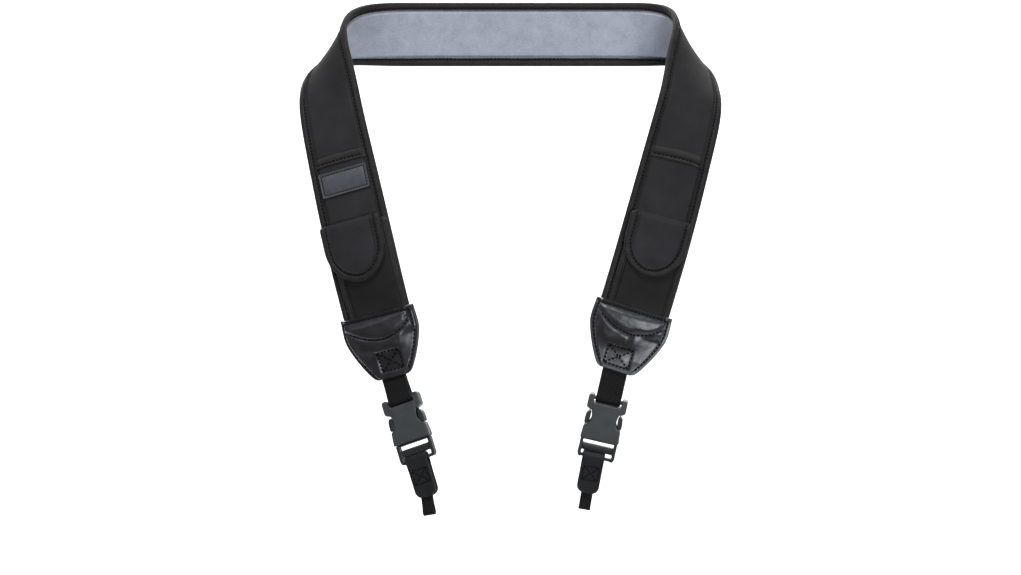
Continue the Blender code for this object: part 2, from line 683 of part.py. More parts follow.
def build_lower_tab(side, matrix):
    """Leather tab folded round the plug's end bar, its two leaves sewn together."""
    loop_y = END_BAR_DEPTH + 1.2 + GAP + TAB_THICK / 2.0
    loop_z = END_BAR_HALF + 1.2 + GAP + TAB_THICK / 2.0
    close = LUG_THICK + 1.5 * GAP + TAB_THICK / 2.0 + 0.1
    low = TAB_LOW
    path = [(-close, low), (-close, low + 16.0), (-close - 0.2, low + 22.0)]
    path += [(y * loop_y, END_BAR_Z + z * loop_z)
             for y, z in arc(0.0, 0.0, 1.0, 180.0, 0.0, 10)]
    path += [(close + 0.2, low + 22.0), (close, low + 16.0), (close, low)]
    tab = add_object("lower_tab_" + side,
                     strip_bmesh(path, TAB_THICK, TAB_SHIFT - TAB_HALF, TAB_SHIFT + TAB_HALF),
                     "tab_leather", matrix)
    corner = 6.0
    for mirror in (1.0, -1.0):
        x = TAB_SHIFT + mirror * (TAB_HALF - corner)
        outline = [(TAB_SHIFT + mirror * (TAB_HALF + 2.0), low + corner),
                   (TAB_SHIFT + mirror * (TAB_HALF + 2.0), low - 2.0), (x, low - 2.0)]
        outline += [(x + mirror * corner * math.sin(math.radians(a)),
                     low + corner - corner * math.cos(math.radians(a)))
                    for a in (0.0, 18.0, 36.0, 54.0, 72.0, 90.0)]
        combine(tab, prism_bmesh(outline, -9.0, 9.0), "DIFFERENCE")


def build_lug_webbing(side, matrix):
    """Narrow webbing: from the tab down to an eye for the camera's lug, and back up."""
    close = LUG_THICK / 2.0 + GAP / 2.0
    low = TAB_LOW
    eye = 2.2
    centre = low - 12.0
    path = [(-close, low + 16.0), (-close, low - 4.5), (-close - 0.3, low - 7.0)]
    path += arc(0.0, centre, eye, 155.0, 385.0, 10)
    path += [(close + 0.3, low - 7.0), (close, low - 4.5), (close, low + 16.0)]
    x0, x1 = TAB_SHIFT - LUG_HALF, TAB_SHIFT + LUG_HALF
    add_object("lug_webbing_" + side, strip_bmesh(path, LUG_THICK, x0, x1), "nylon_webbing",
               matrix)


# ------------------------------------------------------------------------------- build
def main():
    clear_scene()
    build_band()
    build_lining()
    build_edge_bindings()
    build_label_patch()
    for side in SIDES:
        build_slip_pocket(side)
        build_pocket_hem(side)
        build_flap_pocket(side)
        build_pocket_edging(side, "outer", 1.0)
        build_pocket_edging(side, "inner", -1.0)
        build_pocket_flap(side)
        build_flap_binding(side)
        build_end_patch(side, "front", 1.0)
        build_end_patch(side, "back", -1.0)
        matrix = chain_matrix(side)
        build_upper_webbing(side, matrix)
        build_buckle_socket(side, matrix)
        build_buckle_plug(side, matrix)
        tab_matrix = swung(matrix, END_BAR_Z, TAB_SWING[side])
        build_lower_tab(side, tab_matrix)
        build_lug_webbing(side, swung(tab_matrix, TAB_LOW + 8.0, LUG_SWING[side]))


main()
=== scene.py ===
# %% [markdown]
# # A padded neck strap, cut flat and hung up
# The strap is a neoprene band worn over the neck.  On each front strip it carries a slip
# pocket, a flap pocket and a leather end patch, and below that a buckle, a leather tab and
# narrow webbing.  Every soft piece is cut flat here, in millimetres along and across the
# strap, as a maker would cut it, and is then laid on the course of the hanging strap.
# That way seams, stitches and weave follow the cloth by themselves.

# %% Start: bring in the fixed frame, with a helper that measures a part's box
import math

import bpy
import numpy as np
from mathutils import Matrix, Vector


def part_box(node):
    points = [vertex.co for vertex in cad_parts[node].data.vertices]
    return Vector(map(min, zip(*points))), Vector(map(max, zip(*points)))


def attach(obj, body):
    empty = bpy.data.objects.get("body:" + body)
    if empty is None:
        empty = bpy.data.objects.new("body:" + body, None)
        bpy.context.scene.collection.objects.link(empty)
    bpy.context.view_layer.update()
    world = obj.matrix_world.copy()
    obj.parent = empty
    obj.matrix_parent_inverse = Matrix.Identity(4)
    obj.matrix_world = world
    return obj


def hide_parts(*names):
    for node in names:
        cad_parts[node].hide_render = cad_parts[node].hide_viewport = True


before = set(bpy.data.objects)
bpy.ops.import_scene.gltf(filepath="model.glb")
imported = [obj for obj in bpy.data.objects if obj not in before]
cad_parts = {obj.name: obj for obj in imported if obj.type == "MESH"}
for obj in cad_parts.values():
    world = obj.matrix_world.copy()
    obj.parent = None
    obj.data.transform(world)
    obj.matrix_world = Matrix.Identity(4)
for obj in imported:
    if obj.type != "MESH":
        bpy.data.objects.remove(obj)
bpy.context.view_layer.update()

MM = 0.001
SIGN = {"left": -1.0, "right": 1.0}
SIDES = ("left", "right")

# %% [markdown]
# ## The course of the strap
# The neck part stands on edge, folds over at each side and hangs down.  A few bend rows
# say how the band rolls about fold lines on its way outwards, and the band is followed in
# 1 mm steps.  A table of bends is easier to adjust than a bezier path, because a flat band
# can only bend and twist, never stretch sideways.

# %% Course: bend rows and the walk along them
NECK_LEAN = -2.5
NECK_HALF_WIDTH = 26.0
STRIP_HALF_WIDTH = 28.0
WIDENING = (200.0, 350.0)
HEM = {"left": 265.0, "right": 272.0}     # mouth of the slip pocket, along the band
FACE_TO_MIDDLE = 3.15                     # from the lining's face to the band's middle
#         name     start  length angle  slant turn
BENDS = {
    "left": (
        ("collar", 84.0, 102.0, 87.8, 90.0, 0.0),
        ("twist", 66.0, 160.0, 89.2, -1.7, 0.0),
        ("front", 133.0, 128.0, 42.8, 72.8, 0.0),
        ("drape", 264.0, 140.0, -6.0, 0.0, 2.2),
        ("lean", 264.0, 140.0, 13.6, 90.0, 0.0),
        ("settle", 372.0, 70.0, 0.0, 0.0, -1.3),
    ),
    "right": (
        ("collar", 88.0, 101.0, 98.6, 90.0, 0.0),
        ("twist", 79.0, 141.0, 83.3, 0.5, 0.0),
        ("front", 199.0, 72.0, 55.4, 64.3, 0.0),
        ("drape", 277.0, 140.0, 0.0, 0.0, -2.3),
        ("lean", 277.0, 140.0, -3.7, 90.0, 0.0),
        ("settle", 385.0, 70.0, 0.0, 0.0, -0.7),
    ),
}


def ease(t):
    return 6.0 * t * (1.0 - t) if 0.0 < t < 1.0 else 0.0


def walk_band(side, length):
    """Place, direction along, across and out of the face after every millimetre."""
    lean = math.radians(NECK_LEAN)
    along = Vector((1.0, 0.0, 0.0))
    across = Vector((0.0, -math.sin(lean), -math.cos(lean)))
    place = Vector((0.0, FACE_TO_MIDDLE, 0.0))
    rows = [(place.copy(), along.copy(), across.copy(), along.cross(across))]
    for i in range(int(length)):
        face = along.cross(across)
        spin = Vector((0.0, 0.0, 0.0))
        for _name, start, reach, angle, slant, turn in BENDS[side]:
            rate = math.radians(1.0) * ease((i + 0.5 - start) / reach) / reach
            fold_line = along * math.cos(math.radians(slant))
            fold_line += across * math.sin(math.radians(slant))
            spin += fold_line * angle * rate + face * turn * rate
        ahead = along.copy()
        if spin.length:
            rotation = Matrix.Rotation(spin.length, 3, spin)
            ahead = (rotation @ along).normalized()
            across = rotation @ across
            across = (across - ahead * across.dot(ahead)).normalized()
        place = place + (along + ahead) * 0.5
        along = ahead
        rows.append((place.copy(), along.copy(), across.copy(), along.cross(across)))
    mirror = Vector((SIGN[side], 1.0, 1.0))
    return np.array([[list(v * mirror) for v in row] for row in rows])


COURSE = {side: walk_band(side, HEM[side] + 200.0) for side in SIDES}
for side in SIDES:
    end = COURSE[side][-1][0]
    print("%s end of the course at x %.0f y %.0f z %.0f mm" % (side, *end))

# %% [markdown]
# ## From the flat cut to the hanging strap
# One function takes flat coordinates, s along, w across and h out of the black face, and
# gives their place in space.  It blends between the 1 mm steps, so that curves stay smooth.


# %% Course: lay flat points on it
def on_strip(side, s, w, h):
    """World points, in metres, of flat coordinates on one side of the strap."""
    s, w, h = np.broadcast_arrays(np.asarray(s, float), w, h)
    rows = COURSE[side]
    s = np.clip(s, 0.0, len(rows) - 1.001)
    i = s.astype(int)
    t = (s - i)[..., None, None]
    row = rows[i] * (1.0 - t) + rows[i + 1] * t
    point = row[..., 0, :] + row[..., 2, :] * w[..., None] + row[..., 3, :] * h[..., None]
    return point * MM


def on_band(s, w, h):
    """The same for the whole band: s counts from the neck's middle, to the left below 0."""
    s, w, h = np.broadcast_arrays(np.asarray(s, float), w, h)
    left = on_strip("left", np.maximum(-s, 0.0), w, h)
    right = on_strip("right", np.maximum(s, 0.0), w, h)
    return np.where((s < 0.0)[..., None], left, right)


def below_hem(side):
    """A laying function for pieces measured down from the slip pocket's mouth."""
    return lambda s, w, h: on_strip(side, HEM[side] + np.asarray(s, float), w, h)


def half_width(s):
    t = np.clip((np.abs(s) - WIDENING[0]) / (WIDENING[1] - WIDENING[0]), 0.0, 1.0)
    return NECK_HALF_WIDTH + (STRIP_HALF_WIDTH - NECK_HALF_WIDTH) * t * t * (3.0 - 2.0 * t)


print("neck middle:", on_band(0.0, 0.0, 0.0))

# %% [markdown]
# ## Cloth as solids
# A cut piece of cloth is a closed thin solid: an upper and a lower sheet over the same flat
# grid, joined round the rim.  A tape or roll is a tube: one closed section carried along.
# Both builders keep the flat place of every point in a UV map named cloth, in metres, so
# a weave can follow the cloth wherever it bends.


# %% Cloth builders: finishing a mesh
def only(obj):
    """Select one object and make it the active one."""
    bpy.ops.object.select_all(action="DESELECT")
    obj.select_set(True)
    bpy.context.view_layer.objects.active = obj


def close_and_smooth(obj, angle=40.0):
    """Turn every face outwards and smooth all but the edges sharper than the angle."""
    only(obj)
    bpy.ops.object.mode_set(mode="EDIT")
    bpy.ops.mesh.select_all(action="SELECT")
    bpy.ops.mesh.normals_make_consistent(inside=False)
    bpy.ops.object.mode_set(mode="OBJECT")
    bpy.ops.object.shade_smooth_by_angle(angle=math.radians(angle))


def write_cloth_map(mesh, flat):
    """Keep each point's flat place, given in millimetres, in the UV map cloth, in metres."""
    uv = mesh.uv_layers[0] if mesh.uv_layers else mesh.uv_layers.new()
    uv.name = "cloth"
    corners = np.zeros(len(mesh.loops), dtype=np.int32)
    mesh.loops.foreach_get("vertex_index", corners)
    uv.data.foreach_set("uv", (flat[corners] * MM).astype(np.float32).ravel())


# %% Cloth builders: sheets and tubes
def add_piece(name, points, faces, cloth, material, smooth_angle=50.0):
    """A mesh object from world points, with its flat coordinates as the UV map cloth."""
    mesh = bpy.data.meshes.new(name)
    mesh.from_pydata(points.reshape(-1, 3).tolist(), [], faces)
    write_cloth_map(mesh, cloth.reshape(-1, 2))
    obj = bpy.data.objects.new(name, mesh)
    bpy.context.scene.collection.objects.link(obj)
    mesh.materials.append(material)
    close_and_smooth(obj, smooth_angle)
    return obj


def grid_faces(rows, columns, offset=0, close_columns=False):
    across = columns if close_columns else columns - 1
    faces = []
    for i in range(rows - 1):
        for j in range(across):
            k = (j + 1) % columns
            a, b = offset + i * columns, offset + (i + 1) * columns
            faces.append((a + j, a + k, b + k, b + j))
    return faces


def cloth_sheet(name, lay, s, w, top, bottom, material):
    """A closed thin solid over a flat grid, with top and bottom heights."""
    s, w, top, bottom = np.broadcast_arrays(s, w, top, bottom)
    rows, columns = s.shape
    count = rows * columns
    points = np.concatenate([lay(s, w, top).reshape(-1, 3), lay(s, w, bottom).reshape(-1, 3)])
    faces = grid_faces(rows, columns)
    faces += [tuple(count + v for v in face[::-1]) for face in grid_faces(rows, columns)]
    rim = list(range(columns))
    rim += [i * columns + columns - 1 for i in range(1, rows)]
    rim += [(rows - 1) * columns + j for j in range(columns - 2, -1, -1)]
    rim += [i * columns for i in range(rows - 2, 0, -1)]
    for a, b in zip(rim, rim[1:] + rim[:1]):
        faces.append((a, a + count, b + count, b))
    flat = np.stack([s, w], -1).reshape(-1, 2)
    return add_piece(name, points, faces, np.concatenate([flat, flat]), material)


def cloth_tube(name, lay, s, w, h, material):
    """A closed section of columns, carried along the rows and closed at both ends."""
    s, w, h = np.broadcast_arrays(s, w, h)
    rows, columns = s.shape
    points = lay(s, w, h)
    faces = grid_faces(rows, columns, close_columns=True)
    faces.append(tuple(range(columns))[::-1])
    faces.append(tuple((rows - 1) * columns + j for j in range(columns)))
    step = np.linalg.norm(np.diff(points, axis=1), axis=2) / MM
    girth = np.concatenate([np.zeros((rows, 1)), np.cumsum(step, axis=1)], axis=1)
    length = run_length(points.mean(axis=1))
    cloth = np.stack([np.broadcast_to(length[:, None] / MM, girth.shape), girth], -1)
    return add_piece(name, points, faces, cloth, material)


def run_length(points):
    """Distance gone along a row of points, at each of them."""
    return np.concatenate([[0.0], np.cumsum(np.linalg.norm(np.diff(points, axis=0), axis=1))])


def ripple(s, w, size, seed=0.0):
    """A calm, fixed unevenness between -1 and 1 with waves of about that size in mm."""
    a = 2.0 * math.pi / size
    return (np.sin(a * s + 1.7 * seed) * np.cos(a * 0.83 * w + seed)
            + 0.6 * np.sin(a * 0.61 * s - a * 1.23 * w + 2.1 + seed)
            + 0.4 * np.cos(a * 1.9 * s + a * 0.7 * w + 0.6 * seed)) / 2.0


def spread(start, end, step):
    """Evenly spaced stations from start to end, about a step apart."""
    return np.linspace(start, end, max(2, int(round((end - start) / step)) + 1))


print("cloth builders ready")

# %% [markdown]
# ## Finishes
# Every finish is made of noise and waves on the cloth map or on object coordinates, never a
# picture.  Black goods differ by how they take the light: jersey is matt with a soft sheen,
# tape is ribbed, leather is grained and half glossy, acetal is smooth and a little green.


# %% Finishes: small helpers for node trees
def new_finish(name, colour, roughness, **sockets):
    """A material whose plain values sit on the shader's own sockets."""
    material = bpy.data.materials.new(name)
    material.use_nodes = True
    shader = material.node_tree.nodes["Principled BSDF"]
    shader.inputs["Base Color"].default_value = (*colour, 1.0)
    shader.inputs["Roughness"].default_value = roughness
    for socket, value in sockets.items():
        shader.inputs[socket.replace("_", " ")].default_value = value
    return material, material.node_tree, shader


def add_node(tree, kind, inputs=None, **settings):
    """A node with settings, and inputs given as values or as sockets to link from."""
    new = tree.nodes.new(kind)
    for key, value in settings.items():
        setattr(new, key, value)
    for key, value in (inputs or {}).items():
        if isinstance(value, bpy.types.NodeSocket):
            tree.links.new(value, new.inputs[key])
        else:
            new.inputs[key].default_value = value
    return new


def cloth_vector(tree, along=1.0, across=1.0):
    """The cloth map, stretched so that a pattern can be longer one way than the other."""
    uv = add_node(tree, "ShaderNodeUVMap", uv_map="cloth")
    scale = {"Vector": uv.outputs["UV"], "Scale": (along, across, 1.0)}
    return add_node(tree, "ShaderNodeMapping", scale).outputs["Vector"]


def object_vector(tree):
    return add_node(tree, "ShaderNodeTexCoord").outputs["Object"]


def noise(tree, vector, size_mm, detail=2.0, rough=0.5, distortion=0.0):
    """Noise whose blotches are about that many millimetres across."""
    values = {"Vector": vector, "Scale": 1000.0 / size_mm, "Detail": detail,
              "Roughness": rough, "Distortion": distortion}
    return add_node(tree, "ShaderNodeTexNoise", values).outputs["Fac"]


def tint(tree, factor, low, high, start=0.3, end=0.7):
    """Blend two colours by a factor, between two of its levels."""
    ramp = add_node(tree, "ShaderNodeValToRGB", {"Fac": factor})
    ramp.color_ramp.elements[0].position = start
    ramp.color_ramp.elements[0].color = (*low, 1.0)
    ramp.color_ramp.elements[1].position = end
    ramp.color_ramp.elements[1].color = (*high, 1.0)
    return ramp.outputs["Color"]


def level(tree, factor, low, high):
    """A plain number that runs from low to high with a factor."""
    values = {"Value": factor, "From Min": 0.3, "From Max": 0.7, "To Min": low, "To Max": high}
    return add_node(tree, "ShaderNodeMapRange", values).outputs["Result"]


def raise_bump(tree, shader, layers):
    """Stack bump layers of (height socket, depth in mm) on the shader's normal."""
    normal = None
    for height, depth in layers:
        values = {"Height": height, "Strength": 1.0, "Distance": depth * MM}
        if normal is not None:
            values["Normal"] = normal
        normal = add_node(tree, "ShaderNodeBump", values).outputs["Normal"]
    tree.links.new(normal, shader.inputs["Normal"])


# %% Finishes: jersey, lining and tape
def make_jersey(name, dark, light):
    """Black jersey over foam: soft blotches, a fine knit and a grey sheen at the rims."""
    material, tree, shader = new_finish(name, dark, 0.8, Sheen_Weight=0.05,
                                        Sheen_Roughness=0.45, Specular_IOR_Level=0.22)
    cloth = cloth_vector(tree)
    blotch = noise(tree, cloth, 26.0, 3.0, 0.55)
    tree.links.new(tint(tree, blotch, dark, light), shader.inputs["Base Color"])
    knit = noise(tree, cloth_vector(tree, 1.0, 0.45), 0.7, 1.0)
    raise_bump(tree, shader, [(knit, 0.10), (noise(tree, cloth, 9.0), 0.25)])
    return material


JERSEY = make_jersey("neoprene_jersey", (0.016, 0.0155, 0.017), (0.024, 0.0235, 0.026))
# The bags wear a darker, warmer copy of the band's jersey: the darkening is painted shade from
# the flap above.
SHADED_BAG_JERSEY = make_jersey("bag_jersey_painted_shade", (0.011, 0.0102, 0.0102), (0.017, 0.0158, 0.0158))
FLAP_JERSEY = make_jersey("flap_jersey", (0.018, 0.018, 0.021), (0.027, 0.027, 0.031))


def make_lining():
    """Blue-grey brushed lining: mottled pile that lies one way here and another there."""
    material, tree, shader = new_finish("grip_fabric", (0.3, 0.34, 0.42), 0.7,
                                        Sheen_Weight=0.3, Sheen_Roughness=0.5)
    cloth = cloth_vector(tree)
    pile = noise(tree, cloth, 14.0, 6.0, 0.62, 0.4)
    fibre = noise(tree, cloth_vector(tree, 0.5, 1.0), 1.1, 3.0, 0.6)
    mottle = add_node(tree, "ShaderNodeMath", {0: pile, 1: fibre}, operation="ADD")
    half = add_node(tree, "ShaderNodeMath", {0: mottle.outputs[0], 1: 0.5},
                    operation="MULTIPLY").outputs[0]
    colour = tint(tree, half, (0.26, 0.286, 0.352), (0.40, 0.432, 0.520), 0.34, 0.68)
    tree.links.new(colour, shader.inputs["Base Color"])
    tree.links.new(level(tree, pile, 0.78, 0.6), shader.inputs["Roughness"])
    raise_bump(tree, shader, [(fibre, 0.18), (pile, 0.35)])
    return material


LINING = make_lining()


def make_tape(name, dark, light):
    """Folded knit tape: fine ribs along it, brownish black."""
    material, tree, shader = new_finish(name, dark, 0.68, Sheen_Weight=0.05,
                                        Sheen_Roughness=0.5, Specular_IOR_Level=0.25)
    cloth = cloth_vector(tree)
    blotch = noise(tree, cloth, 7.0, 3.0)
    tree.links.new(tint(tree, blotch, dark, light), shader.inputs["Base Color"])
    ribs = add_node(tree, "ShaderNodeTexWave", {"Vector": cloth, "Scale": 300.0,
                    "Distortion": 0.6, "Detail": 1.0}, bands_direction="Y")
    raise_bump(tree, shader, [(ribs.outputs["Fac"], 0.05), (noise(tree, cloth, 3.0), 0.15)])
    return material


TAPE = make_tape("binding_tape", (0.012, 0.011, 0.0115), (0.021, 0.0195, 0.020))
# The hems wear a lighter copy of the binding tape: the lightening is a painted highlight of the
# top light on the rolled hem.
LIT_HEM_TAPE = make_tape("hem_tape_painted_light", (0.018, 0.0168, 0.0175), (0.029, 0.0275, 0.0285))
THREAD, _tree, _shader = new_finish("thread", (0.003, 0.003, 0.004), 0.6,
                                    Specular_IOR_Level=0.15)


# %% Finishes: leather, label rubber, webbing and acetal
COAT_ROUGHNESS = 0.42    # broad, soft highlights


def make_leather(name, dark, light, rough, grain_mm, grain_depth, coat):
    """Embossed leather: small pebbles, glossier on their tops, and soft colour change."""
    material, tree, shader = new_finish(name, dark, rough, Coat_Weight=coat,
                                        Specular_Tint=(0.84, 0.89, 1.0, 1.0))
    shader.inputs["Coat Roughness"].default_value = COAT_ROUGHNESS
    cloth = cloth_vector(tree)
    pebble = add_node(tree, "ShaderNodeTexVoronoi", {"Vector": cloth, "Scale": 1000.0 / grain_mm},
                      feature="SMOOTH_F1", voronoi_dimensions="2D").outputs["Distance"]
    cloud = noise(tree, cloth, 16.0, 4.0)
    tree.links.new(tint(tree, cloud, dark, light), shader.inputs["Base Color"])
    tree.links.new(level(tree, pebble, rough - 0.05, rough + 0.12), shader.inputs["Roughness"])
    raise_bump(tree, shader, [(pebble, -grain_depth), (noise(tree, cloth, 5.0, 3.0), 0.3)])
    return material


LEATHER = make_leather("faux_leather", (0.014, 0.0138, 0.0155), (0.027, 0.0265, 0.031),
                       0.36, 0.9, 0.05, 0.5)
TAB_LEATHER = make_leather("tab_leather", (0.012, 0.0122, 0.0125), (0.018, 0.0183, 0.019),
                           0.55, 0.6, 0.05, 0.05)
TAB_LEATHER.node_tree.nodes["Principled BSDF"].inputs["Specular IOR Level"].default_value = 0.25


def make_rubber():
    """Moulded label rubber, bare: even, satin, faintly mottled."""
    material, tree, shader = new_finish("label_rubber", (0.05, 0.056, 0.07), 0.5)
    coordinates = cloth_vector(tree)
    cloud = noise(tree, coordinates, 6.0, 4.0)
    tree.links.new(tint(tree, cloud, (0.048, 0.053, 0.066), (0.066, 0.073, 0.09)),
                   shader.inputs["Base Color"])
    raise_bump(tree, shader, [(noise(tree, coordinates, 0.5), 0.03)])
    return material


RUBBER = make_rubber()


def make_webbing():
    """Woven nylon: ribs across and yarns along, with painted sheen on the yarn tops and painted
    shade between them.
    """
    material, tree, shader = new_finish("nylon_webbing", (0.010, 0.010, 0.011), 0.6,
                                        Specular_IOR_Level=0.12)
    cloth = cloth_vector(tree)
    ribs, yarns = [
        add_node(tree, "ShaderNodeTexWave", {"Vector": cloth, "Scale": scale, "Distortion": 0.8,
                 "Detail": 1.0}, bands_direction=way).outputs["Fac"]
        for way, scale in (("X", 240.0), ("Y", 230.0))]
    weave = add_node(tree, "ShaderNodeMath", {0: ribs, 1: yarns}, operation="MULTIPLY").outputs[0]
    # painted light: the weave's tops get a lighter tint as painted sheen, and its gaps a darker
    # tint as painted shade
    tree.links.new(tint(tree, weave, (0.004, 0.004, 0.0045), (0.028, 0.028, 0.029), 0.1, 0.8),
                   shader.inputs["Base Color"])
    raise_bump(tree, shader, [(weave, 0.22), (noise(tree, cloth, 1.0), 0.1)])
    return material


WEBBING = make_webbing()


def make_acetal(name, dark, light):
    """Moulded acetal with the fine spark-eroded grain of a buckle mould."""
    material, tree, shader = new_finish(name, dark, 0.42)
    place = object_vector(tree)
    grain = noise(tree, place, 0.35, 2.0)
    cloud = noise(tree, place, 9.0, 3.0)
    tree.links.new(tint(tree, cloud, dark, light), shader.inputs["Base Color"])
    tree.links.new(level(tree, grain, 0.38, 0.5), shader.inputs["Roughness"])
    raise_bump(tree, shader, [(grain, 0.02)])
    return material


ACETAL = make_acetal("acetal", (0.044, 0.050, 0.053), (0.057, 0.064, 0.067))
# The plug wears a darker copy of the socket's acetal: the darkening is painted shade on the
# plug's bars.
SHADED_PLUG_ACETAL = make_acetal("acetal_plug_painted_shade", (0.020, 0.023, 0.024), (0.028, 0.031, 0.032))
print("finishes:", [m.name for m in bpy.data.materials if m.use_nodes][-10:])

# %% [markdown]
# ## The padded band
# The band is 4 mm neoprene with jersey on it, pressed thin where the edge tapes grip it.  It
# is one long grid, thick in the middle and falling to a thin rim.  A cloth simulation would
# only add wrinkles here; the real foam keeps a calm surface, so the unevenness is drawn in
# code, about a tenth of a millimetre deep.

# %% Band: thickness across it, and the solid
CORE_HALF = 2.0          # half the thickness of the foam
CORE_EDGE_HALF = 1.1     # and under the edge tape
BAND_END = 143.5         # end of the foam, below the hem, inside the end patch
EDGE_END = 142.5


def soft_step(t):
    t = np.clip(t, 0.0, 1.0)
    return t * t * (3.0 - 2.0 * t)


def core_height(w, hw):
    """Half the band's thickness: full in the middle, thin under the tapes."""
    return CORE_HALF - (CORE_HALF - CORE_EDGE_HALF) * soft_step((np.abs(w) - (hw - 8.9)) / 1.9)


def neck_grid(end, margin, step=3.0):
    """A flat grid over the whole band, closer together beside its two long edges."""
    s = spread(-HEM["left"] - end, HEM["right"] + end, step)[:, None]
    from_edge = np.concatenate([np.linspace(margin, 10.0, 14), [11.0, 12.5, 14.5, 17.0]])
    middle = np.linspace(-0.3, 0.3, 9)[None, :] * half_width(s)
    near = half_width(s) - from_edge[None, :]
    w = np.concatenate([-near, middle, near[:, ::-1]], axis=1)
    return np.broadcast_to(s, w.shape), w


s, w = neck_grid(BAND_END, 1.25)
thick = core_height(w, half_width(s))
calm = 0.12 * ripple(s, w, 47.0)
band = cloth_sheet("band", on_band, s, w, thick + calm, -thick - 0.02, JERSEY)
print("band: %d faces, %.0f mm long" % (len(band.data.polygons), s.max() - s.min()))

# %% [markdown]
# ## Grip lining
# The inner face wears a grey brushed lining.  Its edges run under the edge tapes, so it
# thins out there, and the tape seems to press into it.

# %% Lining: sheet on the inner face
LINING_THICK = 0.8
GAP = 0.35
TUCK = 5.6               # the lining reaches this far from the band's edge, under the tape

s, w = neck_grid(EDGE_END, TUCK)
hw = half_width(s)
tucked = soft_step((np.abs(w) - (hw - 9.0)) / 2.0)
near = -core_height(w, hw) - 0.05 - 0.3 * (1.0 - tucked)
far = near - LINING_THICK + (LINING_THICK - 0.22) * tucked
far = far - 0.12 * (ripple(s, w, 33.0, 2.0) + 1.0) * (1.0 - tucked)
lining = cloth_sheet("lining", on_band, s, w, near, far, LINING)

# %% [markdown]
# ## Edge tapes
# A knit tape is folded over each long edge and sewn through.  Its section is drawn once as a
# thin U with a shallow valley where the seam pulls it down, and carried along the edge.

# %% Edge tapes: section and both tubes
SEAM_FROM_EDGE = 5.0     # the seam on the black face
#             from the band's edge, height
TAPE_OUTSIDE = ((6.5, 1.5), (6.45, 2.2), (6.15, 2.6), (5.75, 2.5), (5.3, 1.85), (4.7, 1.85),
                (4.15, 2.5), (3.5, 2.72), (2.5, 2.66), (1.5, 2.45), (0.7, 2.02), (0.2, 1.4),
                (0.0, 0.6))
TAPE_INSIDE = ((0.95, 0.5), (1.3, 1.2), (2.4, 1.46), (4.4, 1.46), (6.3, 1.46))


def tape_section():
    outside = TAPE_OUTSIDE + tuple((d, -h) for d, h in TAPE_OUTSIDE[::-1])
    inside = tuple((d, -h) for d, h in TAPE_INSIDE[::-1]) + TAPE_INSIDE
    return np.array(outside + inside)


def make_edge_tape(name, edge_sign):
    s = spread(-HEM["left"] - EDGE_END, HEM["right"] + EDGE_END, 2.4)[:, None]
    d, h = tape_section().T[:, None, :]
    pull = 0.10 * np.sin(2.0 * math.pi * s / 19.0 + edge_sign) * np.exp(-((d - 3.0) / 2.5) ** 2)
    w = edge_sign * (half_width(s) - d)
    return cloth_tube(name, on_band, s, w, h + np.sign(h) * pull, TAPE)


edge_tapes = [make_edge_tape("edge_tape_outer", 1.0), make_edge_tape("edge_tape_inner", -1.0)]
print("edge tapes:", [len(tape.data.polygons) for tape in edge_tapes])

# %% [markdown]
# ## Slip pockets
# On each front strip a flat panel is sewn on over the band and left open at the top.  Its
# sides run under the edge tapes.  The panel is full in the middle, so it catches light there.

# %% Slip pockets: two panels
SLIP_END = 54.0
SLIP_THICK = 1.2
SLIP_HIGH = CORE_HALF + GAP + SLIP_THICK


def panel_drop(w, hw):
    """Share by which a panel on the band sinks and thins where it runs under the tape."""
    return soft_step((np.abs(w) - (hw - 9.1)) / 2.1)


def make_slip_pocket(side):
    fine = np.linspace(1.0, 0.76, 12)
    s, u = np.meshgrid(spread(0.0, SLIP_END, 1.5),
                       np.concatenate([-fine, np.linspace(-0.7, 0.7, 17), fine[::-1]]),
                       indexing="ij")
    hw = half_width(s + HEM[side])
    w = u * (hw - TUCK)
    drop = panel_drop(w, hw)
    low = core_height(w, hw) + GAP - 0.3 * drop
    high = low + SLIP_THICK - 0.98 * drop
    sag = 0.12 * (ripple(s, w, 29.0, 3.0 + SIGN[side]) + 1.0) * (1.0 - drop)
    return cloth_sheet("slip_panel_" + side, below_hem(side), s, w, high + sag, low, JERSEY)


slip_panels = {side: make_slip_pocket(side) for side in SIDES}

# %% [markdown]
# ## Hems
# A tape is rolled over the pocket's mouth.  Here the section lies in the length of the strap
# and is carried across it; at both ends it sinks into the edge tapes.

# %% Hems: rolled tapes over the mouths
#               below the mouth, height
HEM_SECTION = ((-1.25, 2.6), (-1.32, 3.5), (-1.05, 4.4), (-0.4, 5.1), (0.6, 5.4), (1.6, 5.3),
               (2.6, 4.9), (3.3, 4.3), (3.7, 4.05), (4.1, 4.35), (4.6, 4.85), (5.2, 5.0),
               (5.7, 4.8), (5.85, 4.4), (5.4, 4.0), (4.8, 3.7), (0.0, 3.7), (-0.4, 3.4),
               (-0.5, 2.5))
HEM_RISE = {"left": 2.2, "right": 0.1}     # the tape stands this far above the mouth
HEM_ARCH = {"left": 1.0, "right": 1.9}     # and bows up in the middle
HEM_STRETCH = {"left": 1.0, "right": 1.2}


def hem_shift(side, w):
    """How far up the hem sits: its middle bows up and gapes a little."""
    u = np.clip(np.abs(w) / 21.0, 0.0, 1.0)
    return HEM_RISE[side] + HEM_ARCH[side] * (1.0 - u ** 2) + 0.2 * np.sin(w / 6.0)


def hem_height(w, hw, height):
    """Lay a height on the band's face, and press it flat where the hem meets the tapes."""
    drop = soft_step((np.abs(w) - (hw - 9.2)) / 2.8)
    return core_height(w, hw) + 0.3 + height * (1.0 - 0.62 * drop)


